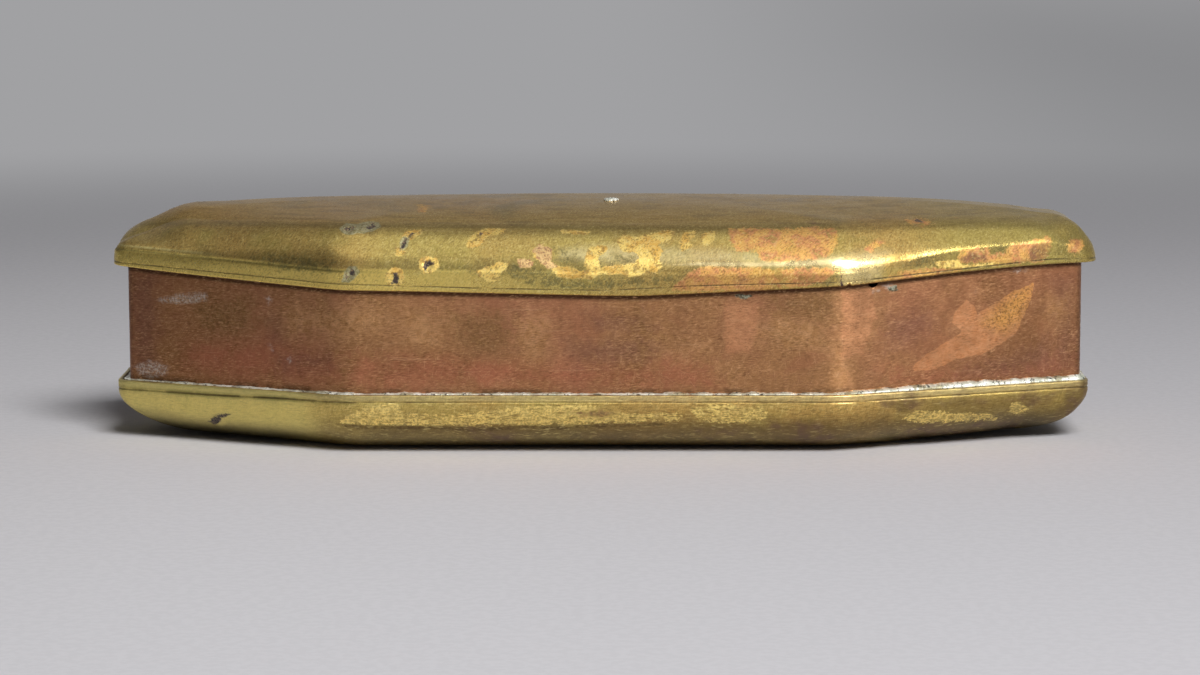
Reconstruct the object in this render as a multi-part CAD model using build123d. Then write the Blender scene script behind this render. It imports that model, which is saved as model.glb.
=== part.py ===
from build123d import *
import math
import os

os.makedirs("parts", exist_ok=True)

# Frame: origin on the floor under the middle of the box, +X to the right along the
# length, the front at -Y, the hinge at +Y, +Z up. Millimetres.

# Plan of the lid's rim: an eight-sided outline whose front corners were set out by hand
length = 160.6
width = 54.0
corner_left = 42.0
corner_right = 38.0
end_flat = 18.0
long_corner_radius = 14.0
end_corner_radius = 4.0
least_corner_radius = 1.0

# How many sections shape a rounded side and a shallow middle
side_steps = 5
crown_steps = 4

# Sheet metal
lid_sheet = 0.7
base_sheet = 0.8
wall_sheet = 0.8

# Lid: its edge stands off the base's rim, then its side rounds over a shoulder into the crown
lid_edge_above_rim = 15.9
lid_turn_above_edge = 3.5
lid_side_reach = 10.5
lid_side_rise = 8.1
lid_shoulder_inset = 7.2
crown_rise = 2.4
crown_power = 2.4
crown_flat_share = 0.15
lid_draw_left = 1.15
lid_draw_right = 0.9
crease_above_edge = 3.4
crease_step = 0.2
line_above_edge = 1.25
line_width = 0.22
line_depth = 0.15

# The lid's lower edge isn't level: rises above its lowest point, by share of the half length
edge_rises = (
    (-1.0, 3.0),
    (-0.71, 1.6),
    (-0.52, 0.9),
    (-0.35, 0.7),
    (0.04, 0.0),
    (0.47, 1.55),
    (0.71, 2.85),
    (0.9, 3.55),
    (1.0, 3.3),
)

# Base dish: a rim strip, a rounded side and a shallow middle with the flat it stands on
base_overhang_gap = 0.9
base_strip_height = 1.3
base_side_reach = 11.0
base_side_drop = 8.4
base_shoulder_inset = 8.0
base_middle_drop = 0.42
base_flat_share = 0.7
base_power = 1.0
base_draw_left = 1.3
base_draw_right = 1.45
groove_width = 0.25
groove_depth = 0.15

# Copper side band
wall_inset = 2.3
wall_reach_into_lid = 4.8
seat_clearance = 0.05
seam_place = -34.0
seam_gap = 0.4
seam_flood_width = 3.0
seam_flood_depth = 0.3
seam_flood_margin = 0.6
small_hole_radius = 0.8
small_hole_from_corner = 5.6
small_hole_above_edge = 1.0

# Solder bead between band and dish
bead_height = 0.7
bead_on_rim = 0.45
bead_on_wall = 0.25

# Solder plug in the crown
plug_place_x = 1.0
plug_place_y = -6.5
plug_radius = 0.8
plug_head_radius = 1.25
plug_head_height = 0.3
plug_tail = 0.3

# Rear hinge
barrel_length = 50.0
knuckle_count = 5
knuckle_gap = 0.15
barrel_radius = 1.6
barrel_off_wall = 1.75
hinge_below_edge = 0.1
pin_radius = 0.7
pin_clearance = 0.05
pin_head_radius = 1.05
pin_head_length = 0.5
pin_head_gap = 0.1
flute_clearance = 0.25
body_strip_thickness = 1.2
body_strip_height = 3.6
lid_strip_off_wall = 0.3
notch_end_clearance = 0.4
strip_edge_offset = 0.2

# Worked out from the sizes above
half_length = length / 2
half_width = width / 2
lid_inset = crease_step + lid_sheet
base_inner_inset = base_overhang_gap + base_sheet
wall_back = half_width - wall_inset
beyond = length
body_knuckles = range(0, knuckle_count, 2)
lid_knuckles = range(1, knuckle_count, 2)


def side_change(pull, reach, rise):
    """Height gained on a rounded side once it has come in by pull: a quarter ellipse."""
    return rise * math.sqrt(1 - (1 - pull / reach) ** 2)


# Heights, from the floor up
base_turn_height = base_middle_drop + side_change(base_shoulder_inset, base_side_reach, base_side_drop)
base_rim_height = base_turn_height + base_strip_height
lid_edge_height = base_rim_height + lid_edge_above_rim
lid_turn_height = lid_edge_height + lid_turn_above_edge
lid_shoulder_height = lid_turn_height + side_change(lid_shoulder_inset, lid_side_reach, lid_side_rise)
crown_height = lid_shoulder_height + crown_rise
wall_top = lid_edge_height + wall_reach_into_lid
axis_y = wall_back + barrel_off_wall
axis_z = lid_edge_height - hinge_below_edge


def outline(z, inset, pull=0.0, draws=(1.0, 1.0), scale=1.0):
    """The eight-sided outline as a face, moved in by inset + pull; the ends take pull times draws."""
    moved = inset + pull
    end_left = inset + pull * draws[0]
    end_right = inset + pull * draws[1]
    corners = []
    for front_corner, end_moved in ((corner_left, end_left), (corner_right, end_right)):
        turn = math.atan2(half_width - end_flat / 2, half_length - front_corner)
        x = front_corner - moved * math.tan(turn / 2)
        drop = moved * math.cos(turn) + (moved * math.sin(turn) - end_moved) * math.tan(turn)
        corners.append((x, half_length - end_moved, end_flat / 2 - drop))
    (left_x, left_end, left_flat), (right_x, right_end, right_flat) = corners
    side = half_width - moved
    points = [
        (-left_x, -side),
        (right_x, -side),
        (right_end, -right_flat),
        (right_end, right_flat),
        (right_x, side),
        (-left_x, side),
        (-left_end, left_flat),
        (-left_end, -left_flat),
    ]
    long_radius = max(long_corner_radius - moved, least_corner_radius) * scale
    end_radius = max(end_corner_radius - moved, least_corner_radius) * scale
    radii = [long_radius, long_radius, end_radius, end_radius] * 2
    scaled = [(x * scale, y * scale) for x, y in points]
    edge = FilletPolyline(*scaled, radius=radii, close=True)
    return Pos(0, 0, z) * make_face(edge)


def prism(inset, low, high):
    """A straight block of the outline between two heights."""
    return extrude(outline(low, inset), amount=high - low)


def ring(outer_inset, inner_inset, low, high):
    """A straight band between two outlines."""
    return prism(outer_inset, low, high) - prism(inner_inset, low, high)


def crown_level(share, shoulder_z, middle_z, power):
    """Height at a share of the way from the shoulder to the flat middle."""
    return middle_z - (middle_z - shoulder_z) * (1 - share) ** power


def pressed(inset, start_z, turn_z, reach, rise, shoulder, middle_z, power, flat, draws, lift):
    """A filled dish or dome: straight rim, rounded side, shallow middle; lift moves it in height."""
    side_faces = []
    for step in range(side_steps + 1):
        pull = shoulder * (step / side_steps) ** 1.5
        z = turn_z + side_change(pull, reach, rise) + lift
        side_faces.append(outline(z, inset, pull, draws))
    shoulder_z = turn_z + side_change(shoulder, reach, rise)
    middle_faces = []
    for step in range(crown_steps + 1):
        share = step / crown_steps
        scale = 1 - (1 - flat) * share
        z = crown_level(share, shoulder_z, middle_z, power) + lift
        middle_faces.append(outline(z, inset, shoulder, draws, scale))
    low, high = sorted((start_z, turn_z + lift))
    return prism(inset, low, high) + loft(side_faces) + loft(middle_faces)


def dome(inset, start_z, lift):
    """The lid's filled shape."""
    return pressed(
        inset, start_z, lid_turn_height, lid_side_reach, lid_side_rise, lid_shoulder_inset,
        crown_height, crown_power, crown_flat_share, (lid_draw_left, lid_draw_right), lift,
    )


def dish(inset, start_z, lift):
    """The base's filled shape, rounded downwards."""
    return pressed(
        inset, start_z, base_turn_height, base_side_reach, -base_side_drop, base_shoulder_inset,
        0.0, base_power, base_flat_share, (base_draw_left, base_draw_right), lift,
    )


def below_edge(offset):
    """Everything under the lid's wavy lower edge, moved up by offset."""
    points = [(share * half_length, lid_edge_height + rise + offset) for share, rise in edge_rises]
    wave = Spline(*points)
    left, right = points[0], points[-1]
    profile = wave + Polyline(right, (beyond, right[1]), (beyond, 0), (-beyond, 0), (-beyond, left[1]), left)
    face = Plane.XZ * make_face(profile)
    return extrude(face, amount=width, both=True)


def make_base():
    """Pressed brass dish with a fine groove under its rim strip."""
    shell = dish(base_overhang_gap, base_rim_height, 0.0)
    shell -= dish(base_inner_inset, base_rim_height + 1.0, base_sheet)
    groove_low = base_turn_height - groove_width
    groove = ring(base_overhang_gap - 1.0, base_overhang_gap + groove_depth, groove_low, base_turn_height)
    return shell - groove


def wall_foot():
    """The band stands in the dish where the dish's rounded inside comes in under it."""
    room = wall_inset - base_inner_inset - seat_clearance
    pull = room / max(base_draw_left, base_draw_right)
    return base_turn_height + base_sheet - side_change(pull, base_side_reach, base_side_drop)


def seam_box(across, low, high):
    """A block round the seam at the back of the band."""
    middle = (low + high) / 2
    return Pos(seam_place, wall_back, middle) * Box(across, 4 * wall_sheet, high - low)


def make_wall():
    """Copper strip bent round and closed by a butt seam, with one small drilled hole."""
    band = ring(wall_inset, wall_inset + wall_sheet, wall_foot(), wall_top)
    band -= seam_box(seam_gap, wall_foot(), wall_top)
    turn = math.atan2(half_width - end_flat / 2, half_length - corner_right)
    corner_x = corner_right - wall_inset * math.tan(turn / 2)
    x = corner_x + small_hole_from_corner * math.cos(turn)
    y = -wall_back + small_hole_from_corner * math.sin(turn)
    z = lid_edge_height + small_hole_above_edge
    drill = Cylinder(small_hole_radius, 6 * wall_sheet, rotation=(90, 0, math.degrees(turn)))
    return band - Pos(x, y, z) * drill


def make_seam_solder():
    """Solder in the seam, flooded a little over the inside."""
    fill = ring(wall_inset, wall_inset + wall_sheet, wall_foot(), wall_top)
    fill &= seam_box(seam_gap, wall_foot(), wall_top)
    inner = wall_inset + wall_sheet
    low, high = wall_foot() + seam_flood_margin, wall_top - seam_flood_margin
    flood = ring(inner, inner + seam_flood_depth, low, high)
    flood &= seam_box(seam_flood_width, low, high)
    return fill + flood


def make_bead():
    """Solder in the corner between the band and the dish's rim."""
    low = base_turn_height + base_sheet
    fill = ring(base_inner_inset, wall_inset, low, base_rim_height)
    foot = outline(base_rim_height, base_overhang_gap + bead_on_rim)
    top = outline(base_rim_height + bead_height, wall_inset - bead_on_wall)
    fillet = loft([foot, top], ruled=True)
    fillet -= prism(wall_inset, base_rim_height - 1, base_rim_height + bead_height + 1)
    return fill + fillet


def barrel_cut(radius, start, end):
    """A cylinder on the hinge's axis between two places along X."""
    middle = (start + end) / 2
    return Pos(middle, axis_y, axis_z) * Cylinder(radius, end - start, rotation=(0, 90, 0))


def knuckle_length():
    """Length of one knuckle."""
    return (barrel_length - (knuckle_count - 1) * knuckle_gap) / knuckle_count


def knuckle_start(index):
    """Where a knuckle begins along X."""
    return -barrel_length / 2 + index * (knuckle_length() + knuckle_gap)


def make_knuckle(index):
    """A short brass tube."""
    start = knuckle_start(index)
    end = start + knuckle_length()
    tube = barrel_cut(barrel_radius, start, end)
    return tube - barrel_cut(pin_radius + pin_clearance, start - 1, end + 1)


def fluted(strip, own):
    """Cuts the seats of a strip's own knuckles, and deeper room for the other strip's."""
    for index in range(knuckle_count):
        start = knuckle_start(index) - knuckle_gap / 2
        end = start + knuckle_length() + knuckle_gap
        if index == 0:
            start -= 1
        if index == knuckle_count - 1:
            end += 1
        radius = barrel_radius
        if index not in own:
            radius += flute_clearance
        strip -= barrel_cut(radius, start, end)
    return strip


def make_body_strip(own):
    """Bearer under the barrel, soldered to the back of the band."""
    top = axis_z - strip_edge_offset
    middle = (wall_back + body_strip_thickness / 2, top - body_strip_height / 2)
    block = Pos(0, *middle) * Box(barrel_length, body_strip_thickness, body_strip_height)
    return fluted(block, own)


def make_lid_strip(own):
    """Bearer over the barrel, soldered inside the lid's rear skirt."""
    skirt_inside = half_width - lid_inset
    front = wall_back + lid_strip_off_wall
    low = axis_z + strip_edge_offset
    high = lid_turn_height - lid_sheet
    middle = ((front + skirt_inside) / 2, (low + high) / 2)
    block = Pos(0, *middle) * Box(barrel_length, skirt_inside - front, high - low)
    return fluted(block, own)


def make_pin():
    """Hinge pin, peened over at both ends."""
    half = barrel_length / 2 + pin_head_gap
    pin = barrel_cut(pin_radius, -half, half)
    pin += barrel_cut(pin_head_radius, -half - pin_head_length, -half)
    return pin + barrel_cut(pin_head_radius, half, half + pin_head_length)


def plug_seat_z():
    """Height of the crown where the plug sits."""
    shoulder_y = half_width - crease_step - lid_shoulder_inset
    share = min(1.0, (1 - abs(plug_place_y) / shoulder_y) / (1 - crown_flat_share))
    return crown_level(share, lid_shoulder_height, crown_height, crown_power)


def plug_post(radius, low, high):
    """An upright cylinder where the plug sits."""
    return Pos(plug_place_x, plug_place_y, (low + high) / 2) * Cylinder(radius, high - low)


def make_lid(filled):
    """Domed shell with a crease, an incised line, the barrel's notch and the plug's hole."""
    low = lid_edge_height - 1
    strip = dome(0.0, low, 0.0) & below_edge(crease_above_edge)
    line = ring(-1.0, line_depth, low, lid_turn_height + lid_side_rise)
    line &= below_edge(line_above_edge + line_width / 2)
    line -= below_edge(line_above_edge - line_width / 2)
    shell = filled + strip - line
    shell -= dome(lid_inset, low - 1, -lid_sheet)
    shell -= below_edge(0.0)
    notch_half = barrel_length / 2 + pin_head_gap + pin_head_length + notch_end_clearance
    shell -= barrel_cut(barrel_radius + flute_clearance, -notch_half, notch_half)
    shell -= plug_post(plug_radius, plug_seat_z() - 3 * lid_sheet, crown_height + 1)
    return shell


def make_plug(filled):
    """Solder plug: a stem in the hole and a low head on the crown."""
    seat = plug_seat_z()
    head = plug_post(plug_head_radius, seat - 1.0, seat + plug_head_height) - filled
    stem = plug_post(plug_radius, seat - lid_sheet - plug_tail, seat + plug_head_height)
    return head + stem


def save(node, shape):
    """Writes one node."""
    export_step(shape, f"parts/{node}.step")


filled_dome = dome(crease_step, lid_edge_height - 1, 0.0)

save("base_dish", make_base())
save("side_wall", make_wall())
save("wall_seam_solder", make_seam_solder())
save("base_solder", make_bead())
save("lid_shell", make_lid(filled_dome))
save("lid_solder_plug", make_plug(filled_dome))
save("body_hinge_strip", make_body_strip(body_knuckles))
save("lid_hinge_strip", make_lid_strip(lid_knuckles))
save("hinge_pin", make_pin())
for side, knuckles in (("body", body_knuckles), ("lid", lid_knuckles)):
    for number, index in enumerate(knuckles, start=1):
        save(f"{side}_knuckle_{number}", make_knuckle(index))
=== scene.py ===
import bpy
import bmesh
import math
import numpy as np
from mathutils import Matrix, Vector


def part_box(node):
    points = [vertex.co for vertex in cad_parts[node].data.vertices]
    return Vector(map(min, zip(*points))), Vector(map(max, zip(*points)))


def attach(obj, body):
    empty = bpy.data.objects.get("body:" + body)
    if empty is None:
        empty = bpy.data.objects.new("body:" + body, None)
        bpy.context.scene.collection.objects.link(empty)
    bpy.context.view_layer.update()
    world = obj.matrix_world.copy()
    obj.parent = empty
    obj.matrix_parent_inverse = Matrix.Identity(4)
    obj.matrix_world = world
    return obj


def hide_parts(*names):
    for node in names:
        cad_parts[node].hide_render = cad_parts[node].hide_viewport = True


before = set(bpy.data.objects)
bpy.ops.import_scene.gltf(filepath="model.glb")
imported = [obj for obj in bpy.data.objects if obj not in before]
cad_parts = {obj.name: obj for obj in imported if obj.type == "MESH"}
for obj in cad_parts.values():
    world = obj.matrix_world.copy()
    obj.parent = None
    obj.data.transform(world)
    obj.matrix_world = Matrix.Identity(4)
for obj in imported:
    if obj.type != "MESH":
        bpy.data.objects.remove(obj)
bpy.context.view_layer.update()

# Everything below is in metres, in the same frame as the solids
mm = 0.001

# Camera, as the photograph was taken
photo_width = 1200
photo_height = 675
focal_px = 3620
sensor_width = 36.0
camera_distance = 600 * mm
camera_elevation = math.radians(7.2)
camera_target = np.array((-0.8, 0.0, 18.0)) * mm
object_lift_px = 14

# Plan of the lid's rim
half_length = 80.3 * mm
half_width = 27.0 * mm
corner_left = 42.0 * mm
corner_right = 38.0 * mm
end_flat = 18.0 * mm
long_corner_radius = 14.0 * mm
end_corner_radius = 4.0 * mm
least_corner_radius = 1.0 * mm

# Sheet metal
lid_sheet = 0.7 * mm
base_sheet = 0.8 * mm
wall_sheet = 0.8 * mm

# Lid
lid_turn_height = 29.2 * mm
lid_side_reach = 10.5 * mm
lid_side_rise = 8.1 * mm
lid_shoulder_inset = 7.2 * mm
lid_shoulder_height = 36.89 * mm
crown_height = 39.29 * mm
crown_power = 2.4
crown_flat_share = 0.15
crown_oval_length = 0.93
lid_draws = (1.15, 0.9)
crease_step = 0.2 * mm
line_width = 0.22 * mm
line_depth = 0.07 * mm
least_strip = 0.5 * mm
inner_edge_step = 0.1 * mm
notch_half = 26.1 * mm
notch_height = 27.42 * mm
notch_fade = 0.35 * mm

# Curves along the lid's front, as (x, z) in millimetres: its lower edge, incised line and crease
edge_curve = (
    (-80, 28.7), (-72, 28.1), (-57, 27.3), (-42, 26.6), (-28, 26.4), (0, 25.75), (5, 25.7), (15, 26.15),
    (38, 27.25), (47, 27.85), (57, 28.62), (64, 28.95), (72, 29.25), (80, 29.25),
)
line_curve = (
    (-80, 29.3), (-42, 27.65), (-17, 26.95), (0, 26.65), (15, 27.4), (38, 27.95), (72, 30.1), (80, 29.85),
)
crease_curve = (
    (-80, 31.5), (-66, 30.9), (-42, 29.8), (-17, 29.65), (0, 29.3), (15, 29.2), (38, 29.3), (57, 29.9),
    (80, 30.6),
)
# How much higher the real top stands than the even one, as (x, rise) in millimetres
top_curve = (
    (-80, -0.5), (-76.5, -0.2), (-74.5, -0.3), (-72.3, 0.05), (-71, 0.55), (-68.5, 1.1), (-66, 1.0),
    (-63, 0.78), (-58, 0.65), (-50, 0.5), (-37, 0.14), (-24, -0.12), (16, -0.1), (32, 0.05), (48, 0.34),
    (57, 0.34), (67, 0.16), (72, -0.2), (80, 0.4),
)
# How much higher the side begins to turn inwards at the right of the front, as (x, rise) in millimetres
turn_curve = (
    (36, 0.0), (41, 0.1), (46, 0.85), (52, 2.0), (57.5, 2.8), (64, 3.1), (72, 3.4), (76, 2.4), (79, 0.0),
)
# Crack in the lid's edge beside the fold, then the low left shoulder and the full left end
crack_place = 38.7 * mm
crack_width = 0.22 * mm
crack_nick = 0.3 * mm
left_shoulder_drop = 1.7 * mm
left_shoulder_start = 41.0 * mm
least_reach = 5.2 * mm
left_end_bulge = 0.55 * mm
# Small sections of the lid: its cut edge as (inset, rise over the edge) in millimetres, the incised
# line as (rise in line widths, share of its depth), the crease as (rise in millimetres, share of its step)
lid_edge_section = ((0.8, 0.02), (0.65, 0.0), (0.3, 0.0), (0.12, 0.03), (0.03, 0.12), (0.0, 0.25))
line_section = ((-0.75, 0.0), (-0.42, 0.15), (-0.2, 1.0), (0.2, 1.0), (0.42, 0.15), (0.75, 0.0))
crease_section = ((-0.2, 0.05), (-0.05, 0.3), (0.1, 0.65), (0.25, 0.95), (0.4, 1.08), (0.6, 1.05), (0.9, 1.0))
# How the sheets are beaten, as (wavelength, depth)
lid_waves = ((38 * mm, 0.10 * mm), (14 * mm, 0.035 * mm), (5 * mm, 0.008 * mm))
base_waves = ((42 * mm, 0.12 * mm), (15 * mm, 0.04 * mm), (5 * mm, 0.008 * mm))
wall_waves = ((30 * mm, 0.05 * mm), (9 * mm, 0.02 * mm))
# Rows of points over the lid: inside its middle, its skirt and its cut edge, then outside
lid_floor_rows = 18
lid_skirt_rows = 5
lid_edge_inner_rows = 3
lid_strip_rows = 8
lid_side_rows = 43
crown_rows = 33
# Rows of points over the rounded sides: inside the lid and the base, and outside the base
inner_side_rows = 13
base_side_rows = 52

# Base dish
rim_inset = 0.9 * mm
base_turn_height = 8.5 * mm
base_rim_height = 9.8 * mm
base_side_reach = 11.0 * mm
base_side_drop = 8.4 * mm
base_shoulder_inset = 8.0 * mm
base_middle_drop = 0.42 * mm
base_flat_share = 0.7
base_draws = (1.3, 1.45)
groove_height = 8.6 * mm
groove_width = 0.25 * mm
groove_depth = 0.15 * mm
groove_lower_left = 0.25 * mm
groove_worn_place = 41 * mm
groove_worn_width = 3.5 * mm
# Small sections of the base: its cut edge as (inset, drop) in millimetres, the groove as
# (rise in groove widths, share of its depth)
base_edge_section = ((1.65, 0.02), (1.5, 0.0), (1.2, 0.0), (1.02, 0.03), (0.93, 0.12), (0.9, 0.28))
base_edge_inner_rows = 2
groove_section = ((0.6, 0.1), (0.3, 1.0), (-0.3, 1.0), (-0.6, 0.1), (-0.9, 0.0))
# Shares of the way to the middle at which the floor and the underside have rows of points
base_floor_shares = (0.98, 0.8, 0.6, 0.45, 0.3, 0.2, 0.1, 0.0)
base_underside_shares = (0.03, 0.08, 0.14, 0.2, 0.26, 0.3, 0.4, 0.55, 0.7, 0.85, 0.98)
left_end_longer = 0.6 * mm
# How much the underside rises towards the ends, as (x, rise) in millimetres
underside_curve = (
    (-80, 0.9), (-75, 0.78), (-71, 0.5), (-66, 0.3), (-58, 0.25), (-50, 0.18), (-42, 0.0), (48, 0.0),
    (58, 0.35), (66, 0.7), (70, 0.55), (74, 0.2), (77, 0.2), (79, 0.7), (80, 0.9),
)

# Copper band, its seam at the back and its small hole at the front
wall_inset = 2.3 * mm
wall_foot = 7.11 * mm
wall_top = 30.5 * mm
seam_place = -34.0 * mm
seam_gap = 0.4 * mm
hole_radius = 0.9 * mm
hole_from_corner = 5.6 * mm
hole_height = 27.55 * mm
hole_sides = 36
# Heights between which the band's outer rows of points stand close, their count, and the count inside
wall_close_low = 10 * mm
wall_close_high = 28 * mm
wall_close_rows = 46
wall_inner_rows = 24

# Solder
bead_height = 0.7 * mm
bead_on_rim = 0.45 * mm
bead_round_rows = 12
plug_place = (1.0 * mm, -6.5 * mm)
plug_head_rise = 0.3 * mm
plug_sides = 48
# Section of the plug from its stem over its head, as (radius, rise) in millimetres
plug_head_section = (
    (0.78, -0.6), (0.8, -0.35), (1.22, -0.3), (1.2, 0.06), (1.02, 0.16), (0.8, 0.23), (0.5, 0.27),
    (0.2, 0.285),
)

# Floor
floor_radius = 6.0
floor_sides = 96
floor_centre = (0.0, 0.05, 0.0)


# Outline of the box

def cant_turn(corner):
    """Angle between the long side and the slanting side beside it."""
    return math.atan2(half_width - end_flat / 2, half_length - corner)


turn_left = cant_turn(corner_left)
turn_right = cant_turn(corner_right)
quarter = math.pi / 2
edge_headings = np.array((
    -quarter, -quarter + turn_right, 0.0, quarter - turn_right,
    quarter, quarter + turn_left, math.pi, 3 * quarter - turn_left,
))
edge_kinds = ("front", "cant_right", "end_right", "cant_right", "back", "cant_left", "end_left", "cant_left")
straight_steps = {
    "front": 300, "cant_right": 120, "end_right": 44, "back": 260, "cant_left": 120, "end_left": 44,
}
long_corner_steps = 30
end_corner_steps = 26


def make_stretches():
    """Each edge and corner, counter-clockwise, with its stations and their shares along it."""
    made = []
    first = 0
    for number, kind in enumerate(edge_kinds):
        at_end = "end" in kind + edge_kinds[(number + 1) % 8]
        corner_steps = end_corner_steps if at_end else long_corner_steps
        for at_corner, steps in ((False, straight_steps[kind]), (True, corner_steps)):
            made.append((at_corner, number, slice(first, first + steps), np.arange(steps) / steps))
            first += steps
    return made, first


stretches, station_count = make_stretches()


def outline(inset, pull=0.0, draws=(1.0, 1.0), scale=1.0):
    """x and y of one outline. inset and pull are one value, or one for each station."""
    inset = np.broadcast_to(np.asarray(inset, float), station_count)
    pull = np.broadcast_to(np.asarray(pull, float), station_count)
    moved = inset + pull
    reach_left = math.cos(edge_headings[7]) * -corner_left - math.sin(edge_headings[7]) * half_width
    reach_right = math.cos(edge_headings[1]) * corner_right - math.sin(edge_headings[1]) * half_width
    reaches = {
        "front": half_width - moved,
        "back": half_width - moved,
        "cant_left": reach_left - moved,
        "cant_right": reach_right - moved,
        "end_left": half_length - inset - pull * draws[0],
        "end_right": half_length - inset - pull * draws[1],
    }
    long_radius = np.maximum(long_corner_radius - moved, least_corner_radius)
    end_radius = np.maximum(end_corner_radius - moved, least_corner_radius)

    def corner_arc(number, columns):
        """Centre and radius of the arc between an edge and the next one."""
        following = (number + 1) % 8
        first, second = edge_headings[number], edge_headings[following]
        at_end = "end" in edge_kinds[number] + edge_kinds[following]
        radius = (end_radius if at_end else long_radius)[columns]
        first_reach = reaches[edge_kinds[number]][columns] - radius
        second_reach = reaches[edge_kinds[following]][columns] - radius
        spread = math.sin(second - first)
        x = (first_reach * math.sin(second) - second_reach * math.sin(first)) / spread
        y = (second_reach * math.cos(first) - first_reach * math.cos(second)) / spread
        return x, y, radius

    x = np.zeros(station_count)
    y = np.zeros(station_count)
    for at_corner, number, columns, share in stretches:
        heading = edge_headings[number]
        end_x, end_y, radius = corner_arc(number, columns)
        if at_corner:
            angle = heading + (edge_headings[(number + 1) % 8] - heading) % (2 * math.pi) * share
            x[columns] = end_x + radius * np.cos(angle)
            y[columns] = end_y + radius * np.sin(angle)
            continue
        end_x = end_x + radius * math.cos(heading)
        end_y = end_y + radius * math.sin(heading)
        start_x, start_y, radius = corner_arc((number + 7) % 8, columns)
        start_x = start_x + radius * math.cos(heading)
        start_y = start_y + radius * math.sin(heading)
        x[columns] = start_x + (end_x - start_x) * share
        y[columns] = start_y + (end_y - start_y) * share
    return x * scale, y * scale


def row_points(x, y, z):
    """Points of one row, at one height or at a height for each."""
    return np.stack((x, y, np.broadcast_to(z, x.shape)), axis=-1)


def outline_row(z, inset, pull=0.0, draws=(1.0, 1.0), scale=1.0):
    """Points of one row along an outline."""
    x, y = outline(inset, pull, draws, scale)
    return row_points(x, y, z)


def side_pull(height, reach, rise):
    """How far a rounded side has come in where it has risen by height."""
    share = np.clip(height / rise, 0.0, 0.9999)
    return reach * (1 - np.sqrt(1 - share ** 2))


def side_height(pull, reach, rise):
    """How far a rounded side has risen where it has come in by pull."""
    return rise * np.sqrt(1 - (1 - pull / reach) ** 2)


def smooth(low, high, value):
    """0 at low, 1 at high, with a soft change between."""
    share = np.clip((value - low) / (high - low), 0, 1)
    return share * share * (3 - 2 * share)


def along(curve, x, soft_steps=33):
    """Height of a curve of (x, z) points in millimetres, softened between its points."""
    places = np.array([point[0] for point in curve]) * mm
    heights = np.array([point[1] for point in curve]) * mm
    fine = np.linspace(-90 * mm, 90 * mm, 721)
    level = np.interp(fine, places, heights)
    window = np.hanning(soft_steps)
    padded = np.pad(level, soft_steps // 2, mode="edge")
    level = np.convolve(padded, window / window.sum(), mode="valid")
    return np.interp(x, fine, level)


def ripple(points, wavelength, seed, count=9):
    """Smooth random unevenness between about -1 and 1, the same on every run."""
    random = np.random.default_rng(seed)
    total = np.zeros(len(points))
    for _ in range(count):
        heading = random.normal(size=3)
        heading /= np.linalg.norm(heading)
        size = wavelength * random.uniform(0.6, 1.7)
        total += np.sin(points @ heading * 2 * math.pi / size + random.uniform(0, 2 * math.pi))
    return total / math.sqrt(count) / 1.5


def waves(points, amounts, seed):
    """Depth of soft waves laid over one another, as (wavelength, amount)."""
    depth = np.zeros(len(points))
    for wavelength, amount in amounts:
        seed += 1
        depth += amount * (0.5 + 0.5 * ripple(points, wavelength, seed))
    return depth


# Meshes

def new_object(name, data):
    """An object in the scene."""
    made = bpy.data.objects.new(name, data)
    bpy.context.scene.collection.objects.link(made)
    return made


def closed_grid(name, rows, wrap_rows=False, cap=True, wrap_columns=True):
    """A mesh from rows of points. Rows close round the outline; the first and last row end in a point."""
    points = np.stack(rows)
    row_count, column_count = points.shape[:2]
    index = np.arange(row_count * column_count).reshape(row_count, column_count)
    faces = []
    last_row = row_count if wrap_rows else row_count - 1
    last_column = column_count if wrap_columns else column_count - 1
    for row in range(last_row):
        lower = index[row]
        upper = index[(row + 1) % row_count]
        for step in range(last_column):
            after = (step + 1) % column_count
            faces.append((lower[step], lower[after], upper[after], upper[step]))
    vertices = points.reshape(-1, 3)
    if cap:
        ends = np.array([points[0].mean(axis=0), points[-1].mean(axis=0)])
        vertices = np.vstack((vertices, ends))
        first, last = len(vertices) - 2, len(vertices) - 1
        for step in range(column_count):
            after = (step + 1) % column_count
            faces.append((first, index[0][after], index[0][step]))
            faces.append((last, index[-1][step], index[-1][after]))
    if not wrap_columns:
        faces.append(tuple(index[:, 0]))
        faces.append(tuple(index[::-1, -1]))
    mesh = bpy.data.meshes.new(name)
    mesh.from_pydata(vertices.tolist(), [], [tuple(int(i) for i in face) for face in faces])
    mesh.validate()
    turn_outwards(mesh)
    mesh.polygons.foreach_set("use_smooth", [True] * len(mesh.polygons))
    return new_object(name, mesh)


def turn_outwards(mesh):
    """Makes every face look out of the piece."""
    worked = bmesh.new()
    worked.from_mesh(mesh)
    bmesh.ops.recalc_face_normals(worked, faces=worked.faces)
    worked.to_mesh(mesh)
    worked.free()


def coordinates(piece):
    """A piece's points and its outward normals."""
    both = []
    for kind in ("co", "normal"):
        values = np.zeros(len(piece.data.vertices) * 3)
        piece.data.vertices.foreach_get(kind, values)
        both.append(values.reshape(-1, 3))
    return both


def put_points(piece, points):
    """Moves a piece's points."""
    piece.data.vertices.foreach_set("co", points.ravel())
    piece.data.update()


# Lid

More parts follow.
